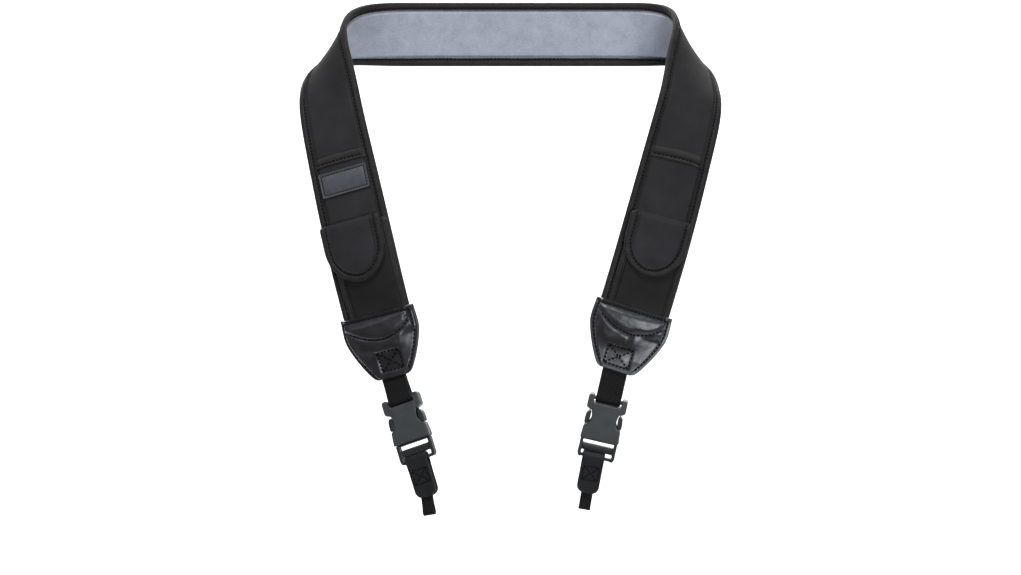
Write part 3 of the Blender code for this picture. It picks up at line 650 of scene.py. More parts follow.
def make_hem(side):
    hw = float(half_width(HEM[side]))
    w = np.sin(np.linspace(-0.5, 0.5, 61) * math.pi)[:, None] * (hw - 6.3)
    d, h = np.array(HEM_SECTION).T[:, None, :]
    height = hem_height(w, hw, h - 2.3)
    low = (1.0 + d / 5.6) / 2.0
    d = d * HEM_STRETCH[side] - hem_shift(side, w) * (1.1 - 0.5 * np.clip(low, 0.0, 1.0))
    # the lighter tape copy on the hem is a painted highlight
    return cloth_tube("hem_" + side, below_hem(side), d, w, height, LIT_HEM_TAPE)


hems = {side: make_hem(side) for side in SIDES}
print("hems:", [len(hem.data.polygons) for hem in hems.values()])

# %% [markdown]
# ## Rubber label
# A small moulded patch is sewn on under the left hem.  It is left bare.  It is modelled flat
# as by hand: a plane is cut by bisect into nested rectangles and extruded to its thickness,
# then the border is extruded up and the sewing groove down, and the corners are bevelled.
# Cutting first keeps the border's corners square, where repeated insets would pinch them.


# %% Label: helpers for pieces that are modelled flat by hand
def pick_faces(obj, test):
    """Select, in edit mode, just the faces that pass a test on centre and normal."""
    bpy.ops.mesh.select_all(action="DESELECT")
    bpy.ops.object.mode_set(mode="OBJECT")
    for face in obj.data.polygons:
        face.select = test(face.center / MM, face.normal)
    bpy.ops.object.mode_set(mode="EDIT")
    bpy.ops.mesh.select_mode(type="FACE")


def lay_on_strap(obj, lay, base):
    """Move a flat model onto the strap: its x is w, its -y is s and its z is h."""
    flat = np.array([vertex.co for vertex in obj.data.vertices]) / MM
    s, w, h = base - flat[:, 1], flat[:, 0], flat[:, 2]
    obj.data.vertices.foreach_set("co", lay(s, w, h).astype(np.float32).ravel())
    write_cloth_map(obj.data, np.stack([s, w], -1))
    close_and_smooth(obj)


# %% Label: model it flat and lay it on
LABEL_TOP, LABEL_HEIGHT, LABEL_HALF = 9.5, 19.5, 19.7
LABEL_LOW = SLIP_HIGH + GAP
LABEL_THICK = 0.95
BORDER, GROOVE_START, GROOVE_END = 0.8, 1.5, 2.3

bpy.ops.object.select_all(action="DESELECT")
bpy.ops.mesh.primitive_plane_add(size=1.0, location=(0.0, 0.0, LABEL_LOW * MM))
label = bpy.context.object
label.name = "label"
bpy.ops.object.transform_apply(location=True, rotation=True, scale=True)
bpy.ops.object.mode_set(mode="EDIT")
bpy.ops.transform.resize(value=(2.0 * LABEL_HALF * MM, LABEL_HEIGHT * MM, 1.0),
                         center_override=(0.0, 0.0, LABEL_LOW * MM))
for inset in (0.0, BORDER, GROOVE_START, GROOVE_END):
    for way in (-1.0, 1.0):
        for plane_co, plane_no in (
                ((way * (LABEL_HALF - inset) * MM, 0.0, 0.0), (1.0, 0.0, 0.0)),
                ((0.0, way * (LABEL_HEIGHT / 2.0 - inset) * MM, 0.0), (0.0, 1.0, 0.0))):
            if inset:
                bpy.ops.mesh.select_all(action="SELECT")
                bpy.ops.mesh.bisect(plane_co=plane_co, plane_no=plane_no)
for k in range(1, 12):
    bpy.ops.mesh.select_all(action="SELECT")
    bpy.ops.mesh.bisect(plane_co=((k / 6.0 - 1.0) * (LABEL_HALF - GROOVE_END) * MM, 0.0, 0.0),
                        plane_no=(1.0, 0.0, 0.0))
bpy.ops.mesh.select_all(action="SELECT")
bpy.ops.mesh.extrude_region_move(TRANSFORM_OT_translate={"value": (0.0, 0.0, LABEL_THICK * MM)})


def from_rim(centre):
    return min(LABEL_HALF - abs(centre.x), LABEL_HEIGHT / 2.0 - abs(centre.y))


for start, end, lift in ((0.0, BORDER, 0.25), (GROOVE_START, GROOVE_END, -0.3)):
    pick_faces(label, lambda centre, normal: normal.z > 0.9 and centre.z > LABEL_LOW + 0.5
               and start < from_rim(centre) < end)
    bpy.ops.mesh.extrude_region_move(
        TRANSFORM_OT_translate={"value": (0.0, 0.0, lift * MM)})
bpy.ops.mesh.select_mode(type="EDGE")
bpy.ops.mesh.select_all(action="DESELECT")
bpy.ops.object.mode_set(mode="OBJECT")
for edge in label.data.edges:
    ends = [label.data.vertices[v].co / MM for v in edge.vertices]
    edge.select = (all(abs(p.x) > LABEL_HALF - 0.01 and abs(p.y) > LABEL_HEIGHT / 2.0 - 0.01
                       for p in ends) and abs(ends[0].z - ends[1].z) > 0.1)
bpy.ops.object.mode_set(mode="EDIT")
bpy.ops.mesh.bevel(offset=0.95 * MM, segments=4, affect="EDGES")
bpy.ops.mesh.select_mode(type="VERT")
bpy.ops.object.mode_set(mode="OBJECT")
label.data.materials.append(RUBBER)
only(label)
rounding = label.modifiers.new("rounding", "BEVEL")
rounding.width, rounding.segments = 0.12 * MM, 2
rounding.limit_method, rounding.angle_limit = "ANGLE", math.radians(50.0)
bpy.ops.object.modifier_apply(modifier="rounding")
lay_on_strap(label, below_hem("left"), LABEL_TOP + LABEL_HEIGHT / 2.0)
print("label: %d faces, %.1f by %.1f mm" % (len(label.data.polygons), 2 * LABEL_HALF,
                                            LABEL_HEIGHT))

# %% [markdown]
# ## Flap pockets
# Under the slip pocket sits a bag with an open mouth: a front wall that bulges a little, a
# thin back wall on the band and an inside that is really hollow.  It is a row of closed
# rings, outer and inner, joined at the mouth, which is how a tube is turned into a bag.

# %% Flap pockets: bags with real insides
FLAP_SHIFT = {"left": 1.9, "right": 1.4}       # the flap sits off the band's middle
BAG_SHIFT = {"left": -2.5, "right": 2.5}       # and so does the bag
BAG_MOUTH, BAG_END, BAG_HALF = 56.0, 132.5, 23.7
BAG_BACK, BAG_BACK_WALL, BAG_WALL = 2.85, 0.6, 1.2
BAG_HEIGHT, BAG_END_HEIGHT = 6.8, 4.4


def bag_height(d):
    return BAG_HEIGHT + (BAG_END_HEIGHT - BAG_HEIGHT) * soft_step((d - 99.0) / 20.0)


def bag_face(d, w, seed=0.0):
    """Height of the bag's front: a low crown, a dip beside the tapes, calm unevenness."""
    top = bag_height(d)
    crown = 0.8 * (top - 3.6) / (BAG_HEIGHT - 3.6)
    u = np.abs(w) / BAG_HALF
    face = top + crown * (1.0 - u ** 2) - 0.7 * soft_step((np.abs(w) - BAG_HALF + 5.2) / 1.3)
    return face + 0.14 * ripple(d, w, 24.0, 5.0 + seed) * (1.0 - u ** 4)


def bag_rings(side, stations, wall):
    """Flat coordinates of closed rings round the bag: back, side, front, side."""
    a = BAG_HALF - wall
    low = BAG_BACK + (BAG_BACK_WALL if wall else 0.0)
    across = np.linspace(-1.0, 1.0, 45)
    d = stations[:, None]
    back_w = np.linspace(-a + 0.6, a - 0.6, 9)[None, :] + 0.0 * d
    back_h = np.full_like(back_w, low)
    front_w = -np.sin(across[None, :] * math.pi * 0.4) / math.sin(math.pi * 0.4) * (a - 0.7)
    front_w = front_w + 0.0 * d
    front_h = bag_face(d, front_w, SIGN[side]) - wall
    high = front_h[:, :1]
    side_share = np.array([0.12, 0.5, 0.86])
    right_w = np.array([a, a + 0.12, a - 0.1])[None, :] + 0.0 * d
    right_h = low + (high - low) * side_share[None, :]
    w = np.concatenate([back_w, right_w, front_w, -right_w[:, ::-1]], axis=1)
    h = np.concatenate([back_h, right_h, front_h, right_h[:, ::-1]], axis=1)
    return np.broadcast_to(d, w.shape), w, h


def make_bag(side):
    outer_d = spread(BAG_MOUTH, BAG_END, 1.9)
    inner_d = spread(BAG_MOUTH, BAG_END - 6.0, 1.9)
    lay = below_hem(side)
    points, cloth, faces, offset = [], [], [], 0
    for stations, wall in ((outer_d, 0.0), (inner_d, BAG_WALL)):
        s, w, h = bag_rings(side, stations, wall)
        rows, columns = s.shape
        points.append(lay(s, w + BAG_SHIFT[side], h).reshape(-1, 3))
        cloth.append(np.stack([s, w], -1).reshape(-1, 2))
        faces += grid_faces(rows, columns, offset, close_columns=True)
        end = offset + (rows - 1) * columns
        faces.append(tuple(range(end, end + columns)))
        offset += rows * columns
    first_inner = len(outer_d) * columns
    for j in range(columns):
        k = (j + 1) % columns
        faces.append((j, k, first_inner + k, first_inner + j))
    # the darker jersey copy on the bag is painted shade
    return add_piece("bag_" + side, np.concatenate(points), faces, np.concatenate(cloth),
                     SHADED_BAG_JERSEY)


bags = {side: make_bag(side) for side in SIDES}
print("bags:", [len(bag.data.polygons) for bag in bags.values()])


# %% Flap pockets: the tapes along the bag's front
#              inwards of the bag's side, above its face
EDGING_TOP = ((3.85, -0.1), (3.95, 0.4), (3.65, 0.8), (3.2, 0.66), (2.9, 0.3), (2.6, 0.6),
              (2.0, 0.98), (1.2, 1.08), (0.4, 0.9), (-0.35, 0.35), (-0.85, -0.6), (-1.0, -1.7),
              (-0.5, -1.9), (-0.36, -0.9), (0.4, 0.0), (2.5, -0.1))


def make_edging(side, name, edge_sign):
    d = spread(BAG_MOUTH - 1.0, BAG_END - 1.0, 1.9)[:, None]
    inwards, above = np.array(EDGING_TOP).T[:, None, :]
    w = edge_sign * (BAG_HALF - inwards)
    face = bag_face(d, edge_sign * np.clip(BAG_HALF - inwards, 0.0, BAG_HALF - 0.7), SIGN[side])
    curl = 1.1 * np.clip((BAG_MOUTH + 3.0 - d) / 4.0, 0.0, 1.0) ** 2
    w = BAG_SHIFT[side] + w - edge_sign * curl
    return cloth_tube("edging_%s_%s" % (name, side), below_hem(side), d, w,
                      face + above + 0.6 - curl, TAPE)


edgings = {}
for side in SIDES:
    for name, edge_sign in (("outer", 1.0), ("inner", -1.0)):
        edgings[side, name] = make_edging(side, name, edge_sign)
print("edgings:", len(edgings))

# %% [markdown]
# ## Flaps
# A flap is folded over the bag.  Its top edge is a soft roll that rises from the slip
# pocket, its panel swells a little, and a wide tape goes round the two sides and the
# rounded end.  The tape's inner edge stands up as a fine ridge beside the panel.

# %% Flaps: shape of the roll, the U outline and the panel
FLAP_TOP, FLAP_STRAIGHT, FLAP_ROUND, FLAP_HALF = 50.5, 20.8, 27.8, 24.7
FLAP_BASE, FLAP_LOW, FLAP_FACE = SLIP_HIGH + GAP, 8.6, 10.5
FLAP_ROLL = 4.6          # how far down the roll at the top reaches
FLAP_INSET = 4.7         # the panel ends this far inside the flap's edge, under the tape
FLAP_SEAM = 4.75         # the tape's seam, inside the flap's edge
FLAP_TAPE_REACH = 7.0    # the tape's inner edge


def flap_rise(d):
    """Share of the flap's height that is reached at a distance below its top edge."""
    t = 1.0 - np.clip(np.asarray(d, float) / FLAP_ROLL, 0.0, 1.0)
    return np.sqrt(np.clip(1.0 - t ** 2.3, 0.0, 1.0))


FLAP_CORNER = 3.8        # radius of the two upper corners


def corner_shrink(d):
    """How far the flap's side stands in beside its rounded upper corners."""
    t = np.clip(1.0 - np.asarray(d, float) / FLAP_CORNER, 0.0, 1.0)
    return FLAP_CORNER * (1.0 - np.sqrt(1.0 - t ** 2))


def flap_half(d, inset):
    t = np.clip((np.asarray(d, float) - FLAP_STRAIGHT) / (FLAP_ROUND - inset), 0.0, 1.0)
    return (FLAP_HALF - inset) * np.sqrt(1.0 - t ** 2)


def flap_face(d, w, side):
    """Height of the panel's face: the roll at the top, a swelling, calm unevenness."""
    rise = flap_rise(d)
    u = np.clip(np.abs(w) / 17.0, 0.0, 1.2)
    swell = 1.1 * np.clip(1.0 - u ** 3, 0.0, 1.0) * soft_step((42.0 - d) / 9.0)
    calm = 0.10 * ripple(d, w, 21.0, 7.0 + SIGN[side])
    return FLAP_BASE + (FLAP_FACE - FLAP_BASE) * rise + (swell + calm) * rise


def make_flap(side):
    depth = FLAP_ROUND - FLAP_INSET
    d = np.concatenate([[0.0, 0.06, 0.2, 0.45, 0.8, 1.3, 1.9, 2.6, 3.4, 4.2],
                        spread(5.0, FLAP_STRAIGHT, 1.1),
                        FLAP_STRAIGHT + depth * np.sin(np.linspace(0.05, 0.4935, 22) * math.pi)])
    d, u = np.meshgrid(d, np.linspace(-1.0, 1.0, 44), indexing="ij")
    w = u * flap_half(d, FLAP_INSET)
    face = flap_face(d, w, side)
    low = FLAP_BASE + (FLAP_LOW - FLAP_BASE) * flap_rise(d - 0.9) - 0.02
    lay = below_hem(side)
    return cloth_sheet("flap_panel_" + side, lay, FLAP_TOP + d, w + FLAP_SHIFT[side], face,
                       np.minimum(low, face - 0.15), FLAP_JERSEY)


flaps = {side: make_flap(side) for side in SIDES}
half, depth = FLAP_HALF - FLAP_INSET, FLAP_ROUND - FLAP_INSET


# %% Flaps: the wide tape round each
#               inwards of the flap's edge, height above the flap's flat face
FLAP_TAPE_SECTION = ((0.0, -2.3), (-0.15, -1.5), (-0.1, -0.8), (0.2, -0.1), (0.8, 0.4),
                     (1.7, 0.7), (2.8, 0.66), (3.7, 0.4), (4.3, 0.0), (4.75, -0.1),
                     (5.2, 0.2), (5.7, 1.0), (6.25, 1.4), (6.75, 1.2), (6.95, 0.5),
                     (6.9, -0.4), (4.0, -0.7), (1.2, -0.9), (1.0, -2.3))


def flap_outline(inset=0.0, step=1.2):
    """The U of a flap as rows of distance below the top, w, and the outward direction."""
    a, b = FLAP_HALF - inset, FLAP_ROUND - inset
    down = np.concatenate([[0.0, 0.15, 0.45, 0.9, 1.5, 2.2, 3.0, 3.8, 4.6],
                           spread(5.6, FLAP_STRAIGHT, step)])
    turn = np.linspace(0.0, math.pi, int(math.pi * b / step))[1:-1]
    d = np.concatenate([down, FLAP_STRAIGHT + b * np.sin(turn), down[::-1]])
    w = np.concatenate([np.full(len(down), a), a * np.cos(turn), np.full(len(down), -a)])
    angle = np.concatenate([np.zeros(len(down)), turn, np.full(len(down), math.pi)])
    return d, w, angle


def make_flap_tape(side):
    d, w, angle = [row[:, None] for row in flap_outline()]
    inwards, above = np.array(FLAP_TAPE_SECTION).T[:, None, :]
    rise = flap_rise(d)
    corner = corner_shrink(d)
    d_in = d - np.sin(angle) * inwards
    w_in = w - np.cos(angle) * (inwards + corner * (1.0 - inwards / FLAP_TAPE_REACH))
    h = FLAP_BASE + (FLAP_FACE - FLAP_BASE) * rise + above * (0.25 + 0.75 * rise) + 0.1
    h = h + 0.08 * np.sin(2.0 * math.pi * (d + w) / 13.0)
    h = np.maximum(h, FLAP_BASE + 0.02 * inwards)
    return cloth_tube("flap_tape_" + side, below_hem(side), FLAP_TOP + d_in,
                      w_in + FLAP_SHIFT[side], h, TAPE)


flap_tapes = {side: make_flap_tape(side) for side in SIDES}
print("flap tapes:", [len(tape.data.polygons) for tape in flap_tapes.values()])

# %% [markdown]
# ## Leather end patches
# Two shield-shaped leathers close the end of each strip and hold the webbing.  The front one
# is stuffed above a crescent seam, falls as a smooth saddle below it towards one side, and
# is pressed flat round the sewn square and along its rim.  A height is worked out for every
# point of a flat grid, because that keeps each seam exactly where the photograph shows it.

# %% End patches: outline and seam lines, in flat millimetres
#        below the hem, half width, room inside at the front, room at the back
PATCH = np.array(((125.5, 30.9, 6.0, 3.6), (132.5, 31.4, 6.0, 3.6), (139.0, 31.7, 5.7, 3.6),
                  (145.0, 31.2, 5.1, 3.4), (151.0, 29.2, 4.3, 2.6), (158.0, 26.4, 3.3, 2.2),
                  (165.0, 22.9, 2.5, 1.9), (171.0, 19.5, 1.9, 1.9), (174.5, 17.2, 1.9, 1.9),
                  (176.2, 15.8, 1.9, 1.9), (177.4, 13.9, 1.9, 1.9), (178.0, 11.6, 1.9, 1.9)))
PATCH_TOP, PATCH_END = PATCH[0, 0], PATCH[-1, 0]
PATCH_THICK = 1.4
PATCH_RIM, PATCH_FLAT = 1.75, 1.9      # height of the flat rim, and its width
PATCH_SEAM = 3.4                       # side seam, inside the outline
TOP_SEAM = 129.0
CRESCENT = ((-22.0, 138.0), (3.0, 146.6), (28.0, 134.4))      # w to the picture's right, s
CROWN = {"left": (-8.0, 2.5), "right": (-3.0, 1.8)}           # where it is highest, how much
SLOPE_WIDTH = {"left": 12.0, "right": 34.0}                   # of the slope to its rim
SEWN_BOX = {"left": (-7.0, 11.2, 156.9, 172.0), "right": (-10.8, 9.2, 158.9, 173.6)}


def patch_half(s):
    """Half width of a patch, with the corners of the table's outline rounded off."""
    s = np.asarray(s, float)
    reach = np.clip((PATCH_END - s) / 2.0, 0.0, 2.0)
    near = [np.interp(s + shift * reach, PATCH[:, 0], PATCH[:, 1]) for shift in (-1.0, 0.0, 1.0)]
    return (near[0] + 2.0 * near[1] + near[2]) / 4.0


def crescent_at(x):
    """Distance below the hem of the crescent seam, x counted to the picture's right."""
    (x0, s0), (x1, s1), (x2, s2) = CRESCENT
    rise = np.where(x < x1, (s1 - s0) / (x0 - x1) ** 2, (s1 - s2) / (x2 - x1) ** 2)
    return s1 - rise * (x - x1) ** 2


def groove(distance, width):
    return np.exp(-(distance / width) ** 2)


def into_box(s, x, side):
    """Distance inside the sewn square's outline, below 0 outside it."""
    x0, x1, s0, s1 = SEWN_BOX[side]
    return np.minimum(np.minimum(x - x0, x1 - x), np.minimum(s - s0, s1 - s))


def patch_front(s, w, side):
    """Height of the front leather over the band's middle surface."""
    x = w * SIGN[side]
    half = patch_half(s)
    inside = half - np.abs(w)
    room = np.interp(s, PATCH[:, 0], PATCH[:, 2])
    shoulder = soft_step((inside - PATCH_FLAT) / 3.4)
    slope = np.clip((inside - PATCH_FLAT) / SLOPE_WIDTH[side], 0.0, 1.0)
    sloping = soft_step((s - 140.0) / 8.0) * soft_step((173.0 - s) / 8.0) * soft_step(x / 8.0)
    shoulder = shoulder + (slope - shoulder) * sloping
    over_bag = room + PATCH_THICK
    curve = crescent_at(x)
    above_curve = curve - s
    pad = np.clip((s - TOP_SEAM) / 3.2, 0.0, 1.0) * np.clip(above_curve / 4.5, 0.0, 1.0)
    pad = np.sqrt(pad) * np.clip((inside - 3.4) / 6.0, 0.0, 1.0) ** 0.6
    fold = np.exp(-((s - curve - 3.2) / 2.3) ** 2) * soft_step((inside - 5.0) / 5.0)
    saddle = soft_step((s - curve) / 7.0) * soft_step((160.0 - s) / 9.0)
    height = over_bag + 1.7 * pad + 0.5 * fold + 0.8 * saddle * soft_step((inside - 5.0) / 8.0)
    crown = soft_step((s - TOP_SEAM) / 6.0) * soft_step((164.0 - s) / 12.0)
    peak, rise = CROWN[side]
    height = height + rise * np.clip(1.0 - ((x - peak) / 27.0) ** 2, -0.6, 1.0) * crown
    height = height - 0.95 * soft_step((into_box(s, x, side) + 2.2) / 3.0)
    height = height - 0.8 * groove(s - curve, 0.9) * soft_step((inside - 3.6) / 1.6)
    height = PATCH_RIM + (height - PATCH_RIM) * shoulder
    top_lip = 0.6 * groove(s - PATCH_TOP - 1.0, 1.0)
    height = height + top_lip - 0.8 * groove(s - TOP_SEAM, 0.7) * soft_step((inside - 1.0) / 2.0)
    height = height - 0.5 * groove(inside - PATCH_SEAM, 0.7) * (s > TOP_SEAM - 1.0)
    creases = 0.22 * ripple(x * 1.2, s, 17.0, 4.0 + SIGN[side]) * shoulder
    creases = creases * soft_step((160.0 - s) / 8.0)
    return height + creases * (0.5 + 0.5 * soft_step((s - curve) / 3.0))


def patch_back(s, w, side):
    half = patch_half(s)
    inside = half - np.abs(w)
    room = np.interp(s, PATCH[:, 0], PATCH[:, 3])
    shoulder = soft_step((inside - PATCH_FLAT) / 3.2)
    height = PATCH_RIM + (room + PATCH_THICK - PATCH_RIM) * shoulder
    height = height + 0.35 * groove(s - PATCH_TOP - 1.0, 1.2) - 0.4 * groove(s - TOP_SEAM, 0.8)
    height = height - 0.4 * groove(inside - PATCH_SEAM, 0.8) * (s > TOP_SEAM - 1.0)
    height = height - 0.4 * soft_step((into_box(s, w * SIGN[side], side) + 1.4) / 1.8)
    return height + 0.12 * ripple(w, s, 15.0, 9.0) * soft_step((inside - 5.0) / 3.0)


def make_patch(side, face_sign):
    s, u = np.meshgrid(np.concatenate([[125.5, 125.62, 125.9], spread(126.4, 177.4, 0.62),
                                       [177.75, 178.0]]),
                       np.concatenate([[-1.0, -0.994, -0.985], np.linspace(-0.97, 0.97, 95),
                                       [0.985, 0.994, 1.0]]), indexing="ij")
    w = u * patch_half(s)
    face = patch_front if face_sign > 0.0 else patch_back
    height = face(s, w, side)
    edge = np.minimum(np.minimum(patch_half(s) - np.abs(w), s - PATCH_TOP), PATCH_END - s)
    rounded = np.sqrt(np.clip(1.0 - (1.0 - np.clip(edge / 0.8, 0.0, 1.0)) ** 2, 0.0, 1.0))
    low = GAP / 2.0
    height = low + 0.45 + (height - low - 0.45) * rounded
    under = np.clip(height - PATCH_THICK, low, None)
    lay = below_hem(side)
    name = "patch_%s_%s" % ("front" if face_sign > 0.0 else "back", side)
    return cloth_sheet(name, lay, s, w, height * face_sign, under * face_sign, LEATHER)


patches = {(side, sign): make_patch(side, sign) for side in SIDES for sign in (1.0, -1.0)}
print("patches:", [len(patch.data.polygons) for patch in patches.values()])

# %% [markdown]
# ## The frame of each buckle
# Below the patch everything hangs in a frame of its own: x to the right, y to the back and z
# up the strap, from the top of the buckle's ears.  The frame is the end of the course, swung
# and hinged a few degrees, as the photograph shows.

# %% Chain: frames of the buckle, the tab and the lug webbing
CHAIN_SWING = {"left": -4.7, "right": -4.9}
CHAIN_HINGE = {"left": -8.4, "right": 13.5}
SOCKET_DROP = {"left": 16.4, "right": 21.5}
TAB_SWING = {"left": 0.0, "right": -2.0}
LUG_SWING = {"left": 9.0, "right": -1.0}
BAR_Z, BAR_RADIUS = -2.8, 1.6
UPPER_SLOT, LOWER_SLOT = (-40.7, -37.0), (-49.6, -46.4)
END_BAR_Z, END_BAR_HALF, END_BAR_DEPTH = -50.85, 1.25, 1.5
TAB_LOW = -81.0


def buckle_frame(side):
    s = HEM[side] + PATCH_END
    origin = Vector(on_strip(side, s, 0.0, 0.0))
    rows = COURSE[side][int(s)]
    up, back = Vector(-rows[1]).normalized(), Vector(-rows[3]).normalized()
    right = back.cross(up)
    mouth = Matrix.Identity(4)
    for column, axis in enumerate((right, back, up, origin)):
        for row in range(3):
            mouth[row][column] = axis[row]
    swing = Matrix.Rotation(math.radians(CHAIN_SWING[side]), 4, "Y")
    hinge = Matrix.Rotation(math.radians(CHAIN_HINGE[side]), 4, "X")
    return mouth @ swing @ hinge @ Matrix.Translation((0.0, 0.0, -SOCKET_DROP[side] * MM))


def swung(matrix, at_level, degrees):
    pivot = Matrix.Translation((0.0, 0.0, at_level * MM))
    return matrix @ pivot @ Matrix.Rotation(math.radians(degrees), 4, "Y") @ pivot.inverted()


BUCKLE = {side: buckle_frame(side) for side in SIDES}
TAB = {side: swung(BUCKLE[side], END_BAR_Z, TAB_SWING[side]) for side in SIDES}
LUG = {side: swung(TAB[side], TAB_LOW + 8.0, LUG_SWING[side]) for side in SIDES}
for side in SIDES:
    low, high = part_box("buckle_socket_" + side)
    centre = BUCKLE[side] @ Vector((0.0, 0.0, -18.0 * MM))
    print(side, "buckle middle is", (centre - (Vector(low) + Vector(high)) / 2.0).length / MM,
          "mm off the CAD socket's")

# %% [markdown]
# ## Webbing and tab
# A strap that goes round a bar is a flat cut again: its length follows a path drawn in the
# frame, y and z, and its width is x.  The path's corners are rounded, and the edges of the
# webbing are a little thinner than its middle, as woven edges are.


# %% Webbing: paths and the laying function along them
def arc(cy, cz, radius, start, end, steps):
    angles = np.radians(np.linspace(start, end, steps + 1))
    return [(cy + radius * math.cos(a), cz + radius * math.sin(a)) for a in angles]


def smooth_path(points, step=0.5, rounds=3):
    """A path as close points: corners are cut a few times and the rest is spaced evenly."""
    path = np.array(points, float)
    for _round in range(rounds):
        a, b = path[:-1], path[1:]
        cut = np.stack([0.75 * a + 0.25 * b, 0.25 * a + 0.75 * b], axis=1).reshape(-1, 2)
        path = np.concatenate([path[:1], cut, path[-1:]])
    gone = run_length(path)
    even = spread(0.0, gone[-1], step)
    return np.stack([np.interp(even, gone, path[:, k]) for k in (0, 1)], -1), even


def along_path(matrix, points):
    """A laying function: s along the path, w = x, h = to the path's right-hand side."""
    path, even = smooth_path(points)
    ahead = np.gradient(path, even, axis=0)
    ahead /= np.linalg.norm(ahead, axis=1)[:, None]
    side_way = np.stack([ahead[:, 1], -ahead[:, 0]], -1)
    turn = np.array(matrix)

    def lay(s, w, h):
        s, w, h = np.broadcast_arrays(np.asarray(s, float), w, h)
        y, z = [np.interp(s, even, path[:, k]) + h * np.interp(s, even, side_way[:, k])
                for k in (0, 1)]
        flat = np.stack([w * MM, y * MM, z * MM], -1)
        return flat @ turn[:3, :3].T + turn[:3, 3]
    return lay, float(even[-1])


def make_webbing_strip(name, matrix, points, half, thick, material, shift=0.0, ends=None):
    """A strip along a path; ends holds fine stations for both ends and the half width there."""
    lay, length = along_path(matrix, points)
    stations = spread(0.0, length, 0.8)
    if ends is not None:
        fine = ends["fine"]
        between = spread(fine[-1] + 0.8, length - fine[-1] - 0.8, 0.8)
        stations = np.concatenate([fine, between, length - fine[::-1]])
    s, u = np.meshgrid(stations, np.sin(np.linspace(-0.5, 0.5, 25) * math.pi), indexing="ij")
    if ends is not None:
        half = ends["half"](np.minimum(s, length - s))
    w = u * half
    from_edge = np.clip((half - np.abs(w)) / 0.6, 0.0, 1.0)
    body = thick / 2.0 * (0.45 + 0.55 * np.sqrt(1.0 - (1.0 - from_edge) ** 2))
    print("%s: %.0f mm long" % (name, length))
    return cloth_sheet(name, lambda s, w, h: lay(s, w + shift, h), s, w, body, -body, material)


# %% Webbing: upper webbing, tab and lug webbing
WEB_HALF, WEB_THICK = 10.0, 1.3
TAB_HALF, TAB_SHIFT, TAB_THICK = 8.9, -1.5, 1.5
LUG_HALF, LUG_THICK = 4.75, 1.2


def upper_path(side):
    mouth = SOCKET_DROP[side]
    radius = BAR_RADIUS + GAP + WEB_THICK / 2.0
    close = WEB_THICK / 2.0 + GAP / 2.0
    hinge = math.radians(CHAIN_HINGE[side])

    def within(y, z):
        return (y * math.cos(hinge) + z * math.sin(hinge),
                mouth - y * math.sin(hinge) + z * math.cos(hinge))

    path = [within(-close, 20.0), within(-close, 0.2), (-close, mouth - 3.5),
            (-(close + radius) / 2.0, 4.0)]
    path += arc(0.0, BAR_Z, radius, 180.0, 360.0, 16)
    return path + [((close + radius) / 2.0, 4.0), (close, mouth - 3.5), within(close, 0.2),
                   within(close, 20.0)]


def tab_path():
    loop_y = END_BAR_DEPTH + 1.2 + GAP + TAB_THICK / 2.0
    loop_z = END_BAR_HALF + 1.3 + GAP + TAB_THICK / 2.0
    close = LUG_THICK + 1.5 * GAP + TAB_THICK / 2.0 + 0.1
    path = [(-close, TAB_LOW), (-close, TAB_LOW + 16.0), (-close - 0.2, TAB_LOW + 22.0)]
    for y, z in arc(0.0, 0.0, 1.0, 180, 0, 20):
        path.append((math.copysign(abs(y) ** 0.55, y) * loop_y, END_BAR_Z + z ** 0.55 * loop_z))
    return path + [(close + 0.2, TAB_LOW + 22.0), (close, TAB_LOW + 16.0), (close, TAB_LOW)]


def lug_path():
    close = LUG_THICK / 2.0 + GAP / 2.0
    path = [(-close, TAB_LOW + 16.0), (-close, TAB_LOW - 4.5), (-close - 0.3, TAB_LOW - 7.0)]
    path += arc(0.0, TAB_LOW - 12.0, 2.2, 155.0, 385.0, 20)
    return path + [(close + 0.3, TAB_LOW - 7.0), (close, TAB_LOW - 4.5), (close, TAB_LOW + 16.0)]


CORNER = 6.0
rounded_ends = {
    "fine": np.array([0.0, 0.1, 0.3, 0.6, 1.0, 1.5, 2.1, 2.8, 3.6, 4.5, 5.5, 6.5]),
    "half": lambda e: TAB_HALF - CORNER + np.sqrt(
        np.clip(CORNER ** 2 - np.clip(CORNER - e, 0.0, CORNER) ** 2, 0.0, None)),
}
webbings, tabs, lugs = {}, {}, {}
for side in SIDES:
    webbings[side] = make_webbing_strip("upper_web_" + side, BUCKLE[side], upper_path(side),
                                        WEB_HALF, WEB_THICK, WEBBING)
    tabs[side] = make_webbing_strip("tab_" + side, TAB[side], tab_path(), TAB_HALF, TAB_THICK,
                                    TAB_LEATHER, TAB_SHIFT, rounded_ends)
    lugs[side] = make_webbing_strip("lug_web_" + side, LUG[side], lug_path(), LUG_HALF,
                                    LUG_THICK, WEBBING, TAB_SHIFT)
print("tab and lug webbing laid")

# %% [markdown]
# ## Side-release buckles
# The buckle is moulded acetal in two halves.  Each half starts as a plane whose lower edge
# is extruded row by row along the outline, as one would draw it over a photograph.  Columns
# are cut with bisect, openings are deleted faces, Solidify gives the thickness and Bevel the
# moulded edges.  A half is joined from such closed plates rather than cut out of a block with
# booleans, which keeps every bevel clean.  One buckle is modelled, and each side gets a copy
# with its own mesh.


